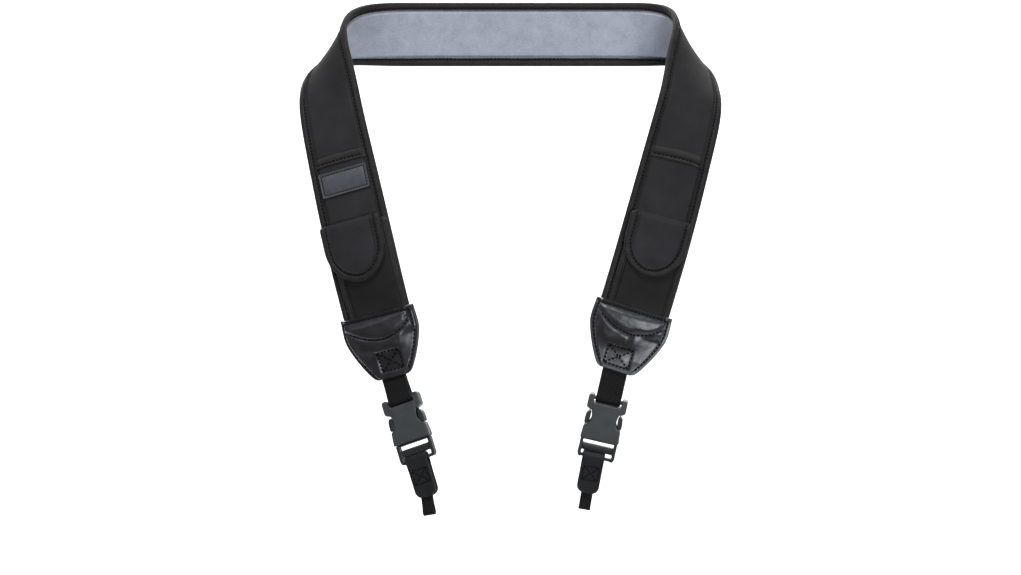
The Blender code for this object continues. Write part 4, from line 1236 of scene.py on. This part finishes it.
# %% Buckle: helpers to draw a plate and to finish it
def ladder_plate(name, rows):
    """A flat plate facing front: a plane, its lower edge extruded along (z, half width)."""
    bpy.ops.object.select_all(action="DESELECT")
    bpy.ops.mesh.primitive_plane_add(size=1.0, rotation=(math.pi / 2.0, 0.0, 0.0))
    plate = bpy.context.object
    plate.name = name
    bpy.ops.object.transform_apply(location=True, rotation=True, scale=True)
    (top, half), (low, low_half) = rows[:2]
    bpy.ops.object.mode_set(mode="EDIT")
    bpy.ops.mesh.select_all(action="SELECT")
    bpy.ops.transform.resize(value=(2.0 * half * MM, 1.0, (top - low) * MM))
    bpy.ops.transform.translate(value=(0.0, 0.0, (top + low) / 2.0 * MM))
    pick_points(plate, lambda p: p.z < (top + low) / 2.0)
    bpy.ops.transform.resize(value=(low_half / half, 1.0, 1.0), center_override=(0.0, 0.0, 0.0))
    for z, next_half in rows[2:]:
        bpy.ops.mesh.extrude_region_move(
            TRANSFORM_OT_translate={"value": (0.0, 0.0, (z - low) * MM)})
        bpy.ops.transform.resize(value=(next_half / low_half, 1.0, 1.0),
                                 center_override=(0.0, 0.0, 0.0))
        low, low_half = z, next_half
    bpy.ops.object.mode_set(mode="OBJECT")
    return plate


def pick_points(obj, test):
    """Select, in edit mode, just the points that pass a test, in millimetres."""
    bpy.ops.mesh.select_mode(type="VERT")
    bpy.ops.mesh.select_all(action="DESELECT")
    bpy.ops.object.mode_set(mode="OBJECT")
    for vertex in obj.data.vertices:
        vertex.select = test(vertex.co / MM)
    bpy.ops.object.mode_set(mode="EDIT")


def move_mesh(obj, x=0.0, y=0.0, z=0.0):
    """Move all of a mesh, in millimetres, and leave the object's origin where it is."""
    only(obj)
    bpy.ops.object.mode_set(mode="EDIT")
    bpy.ops.mesh.select_all(action="SELECT")
    bpy.ops.transform.translate(value=(x * MM, y * MM, z * MM))
    bpy.ops.object.mode_set(mode="OBJECT")


def cut_columns(obj, xs=(), zs=()):
    """Cut the whole mesh along lines of constant x and of constant z."""
    only(obj)
    bpy.ops.object.mode_set(mode="EDIT")
    for x in xs:
        bpy.ops.mesh.select_all(action="SELECT")
        bpy.ops.mesh.bisect(plane_co=(x * MM, 0.0, 0.0), plane_no=(1.0, 0.0, 0.0))
    for z in zs:
        bpy.ops.mesh.select_all(action="SELECT")
        bpy.ops.mesh.bisect(plane_co=(0.0, 0.0, z * MM), plane_no=(0.0, 0.0, 1.0))
    bpy.ops.object.mode_set(mode="OBJECT")


def finish_with(obj, kind, **settings):
    """Add a modifier and apply it at once."""
    only(obj)
    modifier = obj.modifiers.new(kind.lower(), kind)
    for key, value in settings.items():
        setattr(modifier, key, value)
    bpy.ops.object.modifier_apply(modifier=modifier.name)


def thicken(obj, thickness):
    finish_with(obj, "SOLIDIFY", thickness=thickness * MM, offset=0.0,
                use_even_offset=False)
    close_and_smooth(obj)


def round_edges(obj, width, segments=3, angle=40.0):
    finish_with(obj, "BEVEL", width=width * MM, segments=segments, limit_method="ANGLE",
                angle_limit=math.radians(angle), use_clamp_overlap=True)


def join_into(name, parts):
    bpy.ops.object.select_all(action="DESELECT")
    for part in parts:
        part.select_set(True)
    bpy.context.view_layer.objects.active = parts[0]
    bpy.ops.object.join()
    parts[0].name = name
    return parts[0]


# %% Buckle: plates that lie off the middle, and their mirror images
def ladder_strip(name, rows, thickness, rounding, middle=0.0):
    """A plate of (z, inner x, outer x) rows, thickened and rounded, with y = middle."""
    strip = ladder_plate(name, [(z, (outer - inner) / 2.0) for z, inner, outer in rows])
    only(strip)
    bpy.ops.object.mode_set(mode="EDIT")
    for z, inner, outer in rows:
        pick_points(strip, lambda p: abs(p.z - z) < 0.004)
        bpy.ops.transform.translate(value=((inner + outer) / 2.0 * MM, middle * MM, 0.0))
    bpy.ops.object.mode_set(mode="OBJECT")
    thicken(strip, thickness)
    round_edges(strip, rounding)
    return strip


def copied(obj):
    """A copy with its own mesh."""
    twin = obj.copy()
    twin.data = obj.data.copy()
    bpy.context.scene.collection.objects.link(twin)
    return twin


def mirrored(obj, x=-1.0, y=1.0):
    """A copy, mirrored by scaling, with its faces turned outwards again."""
    twin = copied(obj)
    only(twin)
    bpy.ops.object.mode_set(mode="EDIT")
    bpy.ops.mesh.select_all(action="SELECT")
    bpy.ops.transform.resize(value=(x, y, 1.0), center_override=(0.0, 0.0, 0.0))
    bpy.ops.mesh.normals_make_consistent(inside=False)
    bpy.ops.object.mode_set(mode="OBJECT")
    return twin


# %% Buckle: the socket's two shells, ears and side walls
#              z, half width
SHELL_ROWS = ((-6.4, 11.2), (-12.2, 11.2), (-13.2, 11.0), (-14.4, 10.7), (-16.2, 10.3),
              (-18.4, 10.1), (-20.6, 10.3), (-22.4, 10.9), (-23.6, 11.8), (-24.6, 13.0),
              (-25.4, 14.5), (-30.0, 15.0), (-36.0, 15.5))
#            z, inner x, outer x
EAR_ROWS = ((0.0, 11.9, 14.2), (-0.35, 11.35, 14.8), (-0.9, 11.05, 15.25), (-1.7, 11.0, 15.55),
            (-3.0, 11.0, 15.7), (-6.3, 11.0, 15.7), (-6.7, 9.0, 15.7), (-9.6, 9.0, 15.7),
            (-10.4, 9.0, 15.5), (-11.2, 9.0, 14.8), (-12.0, 9.0, 13.4), (-12.6, 9.0, 12.0))
WALL_ROWS = ((-25.3, 12.8, 14.4), (-26.4, 13.2, 14.8), (-28.0, 14.1, 15.0), (-35.9, 14.3, 15.6))
SHELL_OUT, SHELL_THICK = 3.55, 1.3     # its distance from the middle, and its wall
shell = ladder_plate("shell", SHELL_ROWS)
move_mesh(shell, y=-SHELL_OUT)
thicken(shell, SHELL_THICK)
only(shell)
bpy.ops.object.mode_set(mode="EDIT")
pick_faces(shell, lambda centre, normal: normal.y < -0.9)
bpy.ops.mesh.inset(thickness=0.55 * MM, depth=0.28 * MM)
bpy.ops.object.mode_set(mode="OBJECT")
round_edges(shell, 0.28, 2, 25.0)
ear = ladder_strip("ear", EAR_ROWS, 7.4, 1.3)
side_wall = ladder_strip("side_wall", WALL_ROWS, 7.4, 0.5)

bpy.ops.object.select_all(action="DESELECT")
bpy.ops.mesh.primitive_cylinder_add(vertices=24, radius=BAR_RADIUS * MM, depth=24.0 * MM,
                                    location=(0.0, 0.0, BAR_Z * MM),
                                    rotation=(0.0, math.pi / 2.0, 0.0))
bar = bpy.context.object
bpy.ops.object.transform_apply(location=True, rotation=True, scale=True)
round_edges(bar, 0.2, 2)
socket = join_into("socket", [shell, mirrored(shell, 1.0, -1.0), ear, mirrored(ear), side_wall,
                              mirrored(side_wall), bar])
print("socket: %d faces" % len(socket.data.polygons))

# %% Buckle: the plug's frame with its ladder bar and end bar
FRAME_HALF = 2.7
SLOT_HALF, BARS_HALF = 12.3, 11.7      # the slots reach a little into the frame's sides
frame_plate = ladder_plate("plug", ((-36.4, 14.9), (-44.0, 14.95), (-48.7, 15.0), (-50.6, 14.6),
                                    (-51.7, 13.9), (-52.1, 13.0)))
cut_columns(frame_plate, xs=(-SLOT_HALF, -BARS_HALF, BARS_HALF, SLOT_HALF),
            zs=(*UPPER_SLOT, *LOWER_SLOT))
bpy.ops.object.mode_set(mode="EDIT")
pick_faces(frame_plate, lambda centre, normal: abs(centre.x) < SLOT_HALF and (
    UPPER_SLOT[0] < centre.z < UPPER_SLOT[1] or LOWER_SLOT[0] < centre.z < LOWER_SLOT[1]))
bpy.ops.mesh.delete(type="FACE")
bpy.ops.object.mode_set(mode="OBJECT")
thicken(frame_plate, 2.0 * FRAME_HALF)
only(frame_plate)
bpy.ops.object.mode_set(mode="EDIT")
pick_points(frame_plate, lambda p: abs(p.x) < BARS_HALF + 0.2 and p.z < LOWER_SLOT[0] + 0.1)
bpy.ops.transform.resize(value=(1.0, END_BAR_DEPTH / FRAME_HALF, 1.0),
                         center_override=(0.0, 0.0, 0.0))
pick_points(frame_plate, lambda p: abs(p.x) < BARS_HALF + 0.2 and LOWER_SLOT[1] - 0.1 < p.z
            < UPPER_SLOT[0] + 0.1)
bpy.ops.transform.resize(value=(1.0, 0.6, 1.0), center_override=(0.0, 0.0, 0.0))
bpy.ops.object.mode_set(mode="OBJECT")
round_edges(frame_plate, 0.7, 3, 50.0)

RIBS, RIB_PITCH = 12, 1.9
RIB_SIZE = (0.9, 5.4, 4.6)
bpy.ops.object.select_all(action="DESELECT")
bpy.ops.mesh.primitive_cube_add(size=1.0, location=(0.0, 0.0, 0.0))
rib = bpy.context.object
bpy.ops.object.mode_set(mode="EDIT")
bpy.ops.transform.resize(value=[size * MM for size in RIB_SIZE])
bpy.ops.transform.translate(value=(-(RIBS - 1) * RIB_PITCH / 2.0 * MM, 0.0,
                                   (LOWER_SLOT[1] + UPPER_SLOT[0]) / 2.0 * MM))
bpy.ops.object.mode_set(mode="OBJECT")
round_edges(rib, 0.22, 2)
ribs = [rib]
for k in range(1, RIBS):
    ribs.append(copied(rib))
    move_mesh(ribs[-1], x=k * RIB_PITCH)
print("plug frame: %d faces" % len(frame_plate.data.polygons))

# %% Buckle: the plug's collar, arms, press pads and tongue
collar = ladder_plate("collar", ((-33.0, 13.9), (-37.6, 13.9)))
thicken(collar, 4.8)
round_edges(collar, 0.4)
tongue = ladder_plate("tongue", ((-13.4, 2.2), (-14.6, 3.0), (-34.0, 3.0)))
thicken(tongue, 4.0)
round_edges(tongue, 0.5)
#            z, inner x, outer x
ARM_ROWS = ((-24.9, 10.4, 12.3), (-34.0, 9.9, 12.3))
PAD_ROWS = ((-13.9, 12.1, 12.6), (-14.5, 11.6, 13.5), (-15.4, 11.2, 14.2), (-16.8, 10.95, 14.75),
            (-18.4, 10.9, 15.0), (-21.3, 11.2, 15.15), (-22.8, 11.7, 15.1), (-23.7, 12.3, 14.9),
            (-24.3, 12.9, 14.3))
arm = ladder_strip("arm", ARM_ROWS, 4.8, 0.4)
pad = ladder_strip("pad", PAD_ROWS, 6.6, 0.7)
plug = join_into("plug", [frame_plate, *ribs, collar, tongue, arm, mirrored(arm), pad,
                          mirrored(pad)])
print("plug: %d faces" % len(plug.data.polygons))

# %% Buckle: one of each for either side
sockets, plugs = {}, {}
# the plug gets the darker acetal copy, which is painted shade
for kind, model, made, finish in (("socket", socket, sockets, ACETAL),
                                  ("plug", plug, plugs, SHADED_PLUG_ACETAL)):
    model.data.materials.clear()
    model.data.materials.append(finish)
    close_and_smooth(model, 35.0)
    for side in SIDES:
        piece = copied(model)
        piece.name = "%s_%s" % (kind, side)
        piece.data.transform(BUCKLE[side])
        piece.data.update()
        made[side] = piece
    bpy.data.objects.remove(model, do_unlink=True)
print("buckles:", sorted(p.name for p in (*sockets.values(), *plugs.values())))

# %% [markdown]
# ## Stitches
# Real seams are rows of short stitches that sink into the cloth.  One stitch is modelled by
# hand, a six-sided rod with drawn-in ends, and is then copied along every seam line.  The
# seam lines are flat coordinates too, so they cannot leave the cloth.

# %% Stitches: the model and the sewing function
STITCH_PITCH = 3.0
bpy.ops.object.select_all(action="DESELECT")
bpy.ops.mesh.primitive_cylinder_add(vertices=6, radius=0.6 * MM, depth=1.3 * MM,
                                    rotation=(0.0, math.pi / 2.0, 0.0))
stitch = bpy.context.object
stitch.name = "stitch"
bpy.ops.object.transform_apply(location=True, rotation=True, scale=True)
bpy.ops.object.mode_set(mode="EDIT")
for way in (-1.0, 1.0):
    pick_faces(stitch, lambda centre, normal: normal.x * way > 0.9)
    bpy.ops.mesh.extrude_region_move(
        TRANSFORM_OT_translate={"value": (way * 0.42 * MM, 0.0, -0.16 * MM)})
    bpy.ops.transform.resize(value=(1.0, 0.5, 0.5),
                             center_override=(way * 0.97 * MM, 0.0, -0.16 * MM))
bpy.ops.object.mode_set(mode="OBJECT")
STITCH_POINTS = np.array([vertex.co for vertex in stitch.data.vertices])
STITCH_FACES = [tuple(face.vertices) for face in stitch.data.polygons]
bpy.data.objects.remove(stitch, do_unlink=True)


def sew(name, lay, seams, pitch=STITCH_PITCH, bold=1.0):
    """Copy the stitch along seam lines, each an array of flat (s, w, h) points."""
    points, faces = [], []
    for seam in seams:
        seam = np.asarray(seam, float)
        world = lay(seam[:, 0], seam[:, 1], seam[:, 2])
        outwards = np.where(seam[:, 2] < 0.0, -0.5, 0.5)
        above = lay(seam[:, 0], seam[:, 1], seam[:, 2] + outwards) - world
        gone = run_length(world)
        count = max(1, int(gone[-1] / (pitch * MM)))
        middles = (np.arange(count) + 0.5) * gone[-1] / count
        for middle in middles:
            place, behind, ahead, up = [
                np.array([np.interp(at, gone, values[:, k]) for k in range(3)])
                for at, values in ((middle, world), (middle - 0.8 * MM, world),
                                   (middle + 0.8 * MM, world), (middle, above))]
            x = (ahead - behind) / np.linalg.norm(ahead - behind)
            y = np.cross(up, x)
            y /= np.linalg.norm(y)
            z = np.cross(x, y)
            size = np.array([pitch / STITCH_PITCH, bold, bold])
            start = len(points) * len(STITCH_POINTS)
            points.append(place + (STITCH_POINTS * size) @ np.stack([x, y, z]))
            faces += [tuple(start + v for v in face) for face in STITCH_FACES]
    points = np.concatenate(points)
    return add_piece(name, points, faces, np.zeros((len(points), 2)), THREAD, 60.0)


def line(*corners, step=0.7):
    """A seam line through flat corners, as close points."""
    corners = np.array(corners, float)
    gone = run_length(corners)
    at = spread(0.0, gone[-1], step)
    return np.stack([np.interp(at, gone, corners[:, k]) for k in range(corners.shape[1])], -1)


def crossed_square(a, b, c, d):
    """Seam lines of a sewn square and its two diagonals, from its four corners in turn."""
    return [line(a, b, c, d, a), line(a, c), line(b, d)]


print("stitch: %d faces" % len(STITCH_FACES))

# %% Stitches: along the edge tapes, on both faces
stitches = {}
for name, edge_sign in (("outer", 1.0), ("inner", -1.0)):
    s = spread(-HEM["left"] - 124.5, HEM["right"] + 124.5, 0.9)
    wander = 0.12 * np.sin(s / 7.0)
    black = np.stack([s, edge_sign * (half_width(s) - SEAM_FROM_EDGE + wander),
                      np.full_like(s, 1.96)], -1)
    from_edge = 5.9 if edge_sign > 0.0 else 4.6
    depth = -2.62 if edge_sign > 0.0 else -2.1
    grey = np.stack([s, edge_sign * (half_width(s) - from_edge + wander),
                     np.full_like(s, depth)], -1)
    stitches["edge_seam_" + name] = sew("edge_seam_" + name, on_band, [black], 3.0, 1.4)
    stitches["lining_seam_" + name] = sew("lining_seam_" + name, on_band, [grey])
print("edge seams sewn")

# %% Stitches: hems, label, bag tapes and flaps
for side in SIDES:
    lay = below_hem(side)
    hw = float(half_width(HEM[side]))
    w = spread(-hw + 8.2, hw - 8.2, 0.7)
    at = 3.7 * HEM_STRETCH[side] - hem_shift(side, w) * 0.7
    stitches["hem_seam_" + side] = sew("hem_seam_" + side, lay,
                                       [np.stack([at, w, hem_height(w, hw, 2.0)], -1)])
    seams = []
    for edge_sign in (1.0, -1.0):
        d = spread(BAG_MOUTH + 1.0, 124.8, 0.8)
        w = edge_sign * (BAG_HALF - 2.9)
        seams.append(np.stack([d, np.full_like(d, w + BAG_SHIFT[side]),
                               bag_face(d, w, SIGN[side]) + 0.5], -1))
    stitches["bag_seam_" + side] = sew("bag_seam_" + side, lay, seams)
    d, w, angle = flap_outline(FLAP_SEAM, 0.6)
    keep = d > 1.2
    height = FLAP_BASE + (FLAP_FACE - FLAP_BASE) * flap_rise(d) + 0.16
    corner = corner_shrink(d) * (1.0 - FLAP_SEAM / FLAP_TAPE_REACH)
    seam = np.stack([FLAP_TOP + d, w - np.cos(angle) * corner + FLAP_SHIFT[side], height], -1)
    stitches["flap_seam_" + side] = sew("flap_seam_" + side, lay, [seam[keep]])

inset = (GROOVE_START + GROOVE_END) / 2.0
top, low = LABEL_TOP + inset, LABEL_TOP + LABEL_HEIGHT - inset
across, face = LABEL_HALF - inset, LABEL_LOW + 0.86
frame_line = line((top, -across, face), (top, across, face), (low, across, face),
                  (low, -across, face), (top, -across, face))
stitches["label_seam"] = sew("label_seam", below_hem("left"), [frame_line], 2.3, 0.62)
print("pocket seams sewn")

# %% Stitches: the leather patches
for side in SIDES:
    for face_sign, face in ((1.0, patch_front), (-1.0, patch_back)):
        lay = below_hem(side)

        def on_leather(seam):
            s, x = seam[:, 0], seam[:, 1]
            w = x * SIGN[side]
            return np.stack([s, w, face_sign * (face(s, w, side) + 0.2)], -1)

        reach = float(patch_half(TOP_SEAM)) - PATCH_SEAM
        seams = [line((TOP_SEAM, -reach), (TOP_SEAM, reach))]
        down = spread(TOP_SEAM, 173.5, 0.7)
        for way in (-1.0, 1.0):
            seams.append(np.stack([down, way * (patch_half(down) - PATCH_SEAM)], -1))
        x0, x1, s0, s1 = SEWN_BOX[side]
        seams += crossed_square((s0, x0), (s0, x1), (s1, x1), (s1, x0))
        if face_sign > 0.0:
            x = spread(CRESCENT[0][0] - 1.5, CRESCENT[2][0] - 2.0, 0.7)
            seams.append(np.stack([crescent_at(x), x], -1))
        name = "patch_seam_%s_%s" % ("front" if face_sign > 0.0 else "back", side)
        stitches[name] = sew(name, lay, [on_leather(seam) for seam in seams], 3.0, 1.25)
print("patch seams sewn")


# %% Stitches: webbing and tabs
def in_frame(matrix):
    """A laying function for plain frame coordinates: s = z, w = x, h = towards the front."""
    turn = np.array(matrix)

    def lay(s, w, h):
        flat = np.stack(np.broadcast_arrays(w * MM, -h * MM, s * MM), -1)
        return flat @ turn[:3, :3].T + turn[:3, 3]
    return lay


for side in SIDES:
    z = SOCKET_DROP[side] - 1.9
    web_face = WEB_THICK + GAP / 2.0 + 0.02
    seams = [line((z, -9.2, web_face), (z, 9.2, web_face))]
    stitches["web_seam_" + side] = sew("web_seam_" + side, in_frame(BUCKLE[side]), seams, 2.0,
                                       0.8)
    close = LUG_THICK + 1.5 * GAP + TAB_THICK + 0.1
    seams = []
    for front in (1.0, -1.0):
        corners = [(-58.6, -7.9, close + 0.32), (-58.6, 5.0, close + 0.32),
                   (-70.0, 5.0, close + 0.07), (-70.0, -7.9, close + 0.07)]
        seams += crossed_square(*[(s, w, front * h) for s, w, h in corners])
    stitches["tab_seam_" + side] = sew("tab_seam_" + side, in_frame(TAB[side]), seams, 2.3, 1.0)
print("stitched pieces:", len(stitches))

# %% [markdown]
# ## Camera, stage and light
# The camera stands level, two metres in front, at the height of the flap pockets.  A pale
# sweep of floor and wall is far below and behind the strap, because white close around black
# goods would turn them grey.  A high lamp lets every hem and flap draw a dark line below
# itself, and a broad lamp beside the camera shows as a soft highlight on the leather.

# %% Camera
camera_data = bpy.data.cameras.new("camera")
camera_data.sensor_width = 36.0
camera_data.sensor_fit = "HORIZONTAL"
FOCAL_PIXELS, IMAGE_WIDTH = 2442.0, 1021.0
camera_data.lens = FOCAL_PIXELS / IMAGE_WIDTH * camera_data.sensor_width
camera = bpy.data.objects.new("camera", camera_data)
camera.location = (0.0, -2.0, -0.2075)
camera.rotation_euler = (math.pi / 2.0, 0.0, 0.0)
bpy.context.scene.collection.objects.link(camera)
bpy.context.scene.camera = camera
print("lens: %.1f mm" % camera_data.lens)

# %% Stage: floor that sweeps up into a wall
FLOOR_Z, FLOOR_DEPTH, STAGE_WIDTH, WALL_HEIGHT = -1.1, 2.0, 9.0, 2.6
FLOOR_FRONT = -0.2       # the floor starts a little in front of the strap
SWEEP, SWEEP_STEPS = 0.8, 12
bpy.ops.object.select_all(action="DESELECT")
bpy.ops.mesh.primitive_plane_add(
    size=1.0, location=(0.0, FLOOR_FRONT + FLOOR_DEPTH / 2.0, FLOOR_Z))
stage = bpy.context.object
stage.name = "stage"
bpy.ops.object.mode_set(mode="EDIT")
bpy.ops.transform.resize(value=(STAGE_WIDTH, FLOOR_DEPTH, 1.0))
pick_points(stage, lambda p: p.y > 0.0)
for k in range(SWEEP_STEPS):
    turn = math.pi / 2.0 * (k + 0.5) / SWEEP_STEPS
    ahead = SWEEP * math.pi / 2.0 / SWEEP_STEPS
    bpy.ops.mesh.extrude_region_move(TRANSFORM_OT_translate={
        "value": (0.0, ahead * math.cos(turn), ahead * math.sin(turn))})
bpy.ops.mesh.extrude_region_move(
    TRANSFORM_OT_translate={"value": (0.0, 0.0, WALL_HEIGHT)})
bpy.ops.object.mode_set(mode="OBJECT")
bpy.ops.object.shade_smooth()
paper, _tree, _shader = new_finish("stage_paper", (0.86, 0.86, 0.86), 0.9)
stage.data.materials.append(paper)


# %% Lights
def soft_lamp(name, place, aim, width, height, power):
    data = bpy.data.lights.new(name, "AREA")
    data.shape = "RECTANGLE"
    data.size, data.size_y = width, height
    data.energy = power
    lamp = bpy.data.objects.new(name, data)
    lamp.location = place
    lamp.rotation_euler = (Vector(aim) - Vector(place)).to_track_quat("-Z", "Y").to_euler()
    bpy.context.scene.collection.objects.link(lamp)
    return lamp


MIDDLE = (0.0, 0.0, -0.18)
soft_lamp("lamp_left", (-1.6, -1.2, 0.5), MIDDLE, 0.6, 1.0, 1.5)
soft_lamp("lamp_front", (0.45, -1.6, -0.4), (0.0, 0.0, -0.3), 0.6, 0.6, 15.0)
soft_lamp("lamp_key", (-0.3, -1.2, 1.6), MIDDLE, 1.2, 0.6, 33.0)
soft_lamp("lamp_top", (0.0, -0.3, 1.5), MIDDLE, 1.0, 0.4, 2.5)
soft_lamp("lamp_wall", (0.0, 1.7, 1.9), (0.0, 2.6, 0.0), 3.6, 0.8, 190.0)
world = bpy.data.worlds.new("studio")
world.use_nodes = True
sky = world.node_tree.nodes["Background"]
sky.inputs["Color"].default_value = (1.0, 1.0, 1.0, 1.0)
sky.inputs["Strength"].default_value = 0.04
bpy.context.scene.world = world
bpy.context.scene.view_settings.view_transform = "Standard"

# %% [markdown]
# ## Which piece stands for which
# Every piece is tied to the strap's one body, and the piece of the frame that it stands for is
# hidden.

# %% Ties: body and replaced nodes
stands_for = {band: ("neoprene_band", "neoprene_jersey"), lining: ("grip_lining", "grip_fabric"),
              edge_tapes[0]: ("edge_binding_outer", "binding_tape"),
              edge_tapes[1]: ("edge_binding_inner", "binding_tape"),
              label: ("label_patch", "label_rubber")}
for side in SIDES:
    stands_for.update({
        slip_panels[side]: ("slip_pocket_" + side, "neoprene_jersey"),
        hems[side]: ("pocket_hem_" + side, "binding_tape"),
        bags[side]: ("flap_pocket_" + side, "neoprene_jersey"),
        edgings[side, "outer"]: ("pocket_edging_outer_" + side, "binding_tape"),
        edgings[side, "inner"]: ("pocket_edging_inner_" + side, "binding_tape"),
        flaps[side]: ("pocket_flap_" + side, "neoprene_jersey"),
        flap_tapes[side]: ("flap_binding_" + side, "binding_tape"),
        patches[side, 1.0]: ("end_patch_front_" + side, "faux_leather"),
        patches[side, -1.0]: ("end_patch_back_" + side, "faux_leather"),
        webbings[side]: ("upper_webbing_" + side, "nylon_webbing"),
        sockets[side]: ("buckle_socket_" + side, "acetal"),
        plugs[side]: ("buckle_plug_" + side, "acetal"),
        tabs[side]: ("lower_tab_" + side, "tab_leather"),
        lugs[side]: ("lug_webbing_" + side, "nylon_webbing"),
    })
for piece, (node, slot) in stands_for.items():
    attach(piece, "root")
    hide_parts(node)
for name, piece in stitches.items():
    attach(piece, "root")
print("pieces:", len(stands_for), "with", len(stitches), "seams")

# %% Ties: a loop over the sides that does nothing
for side in SIDES:
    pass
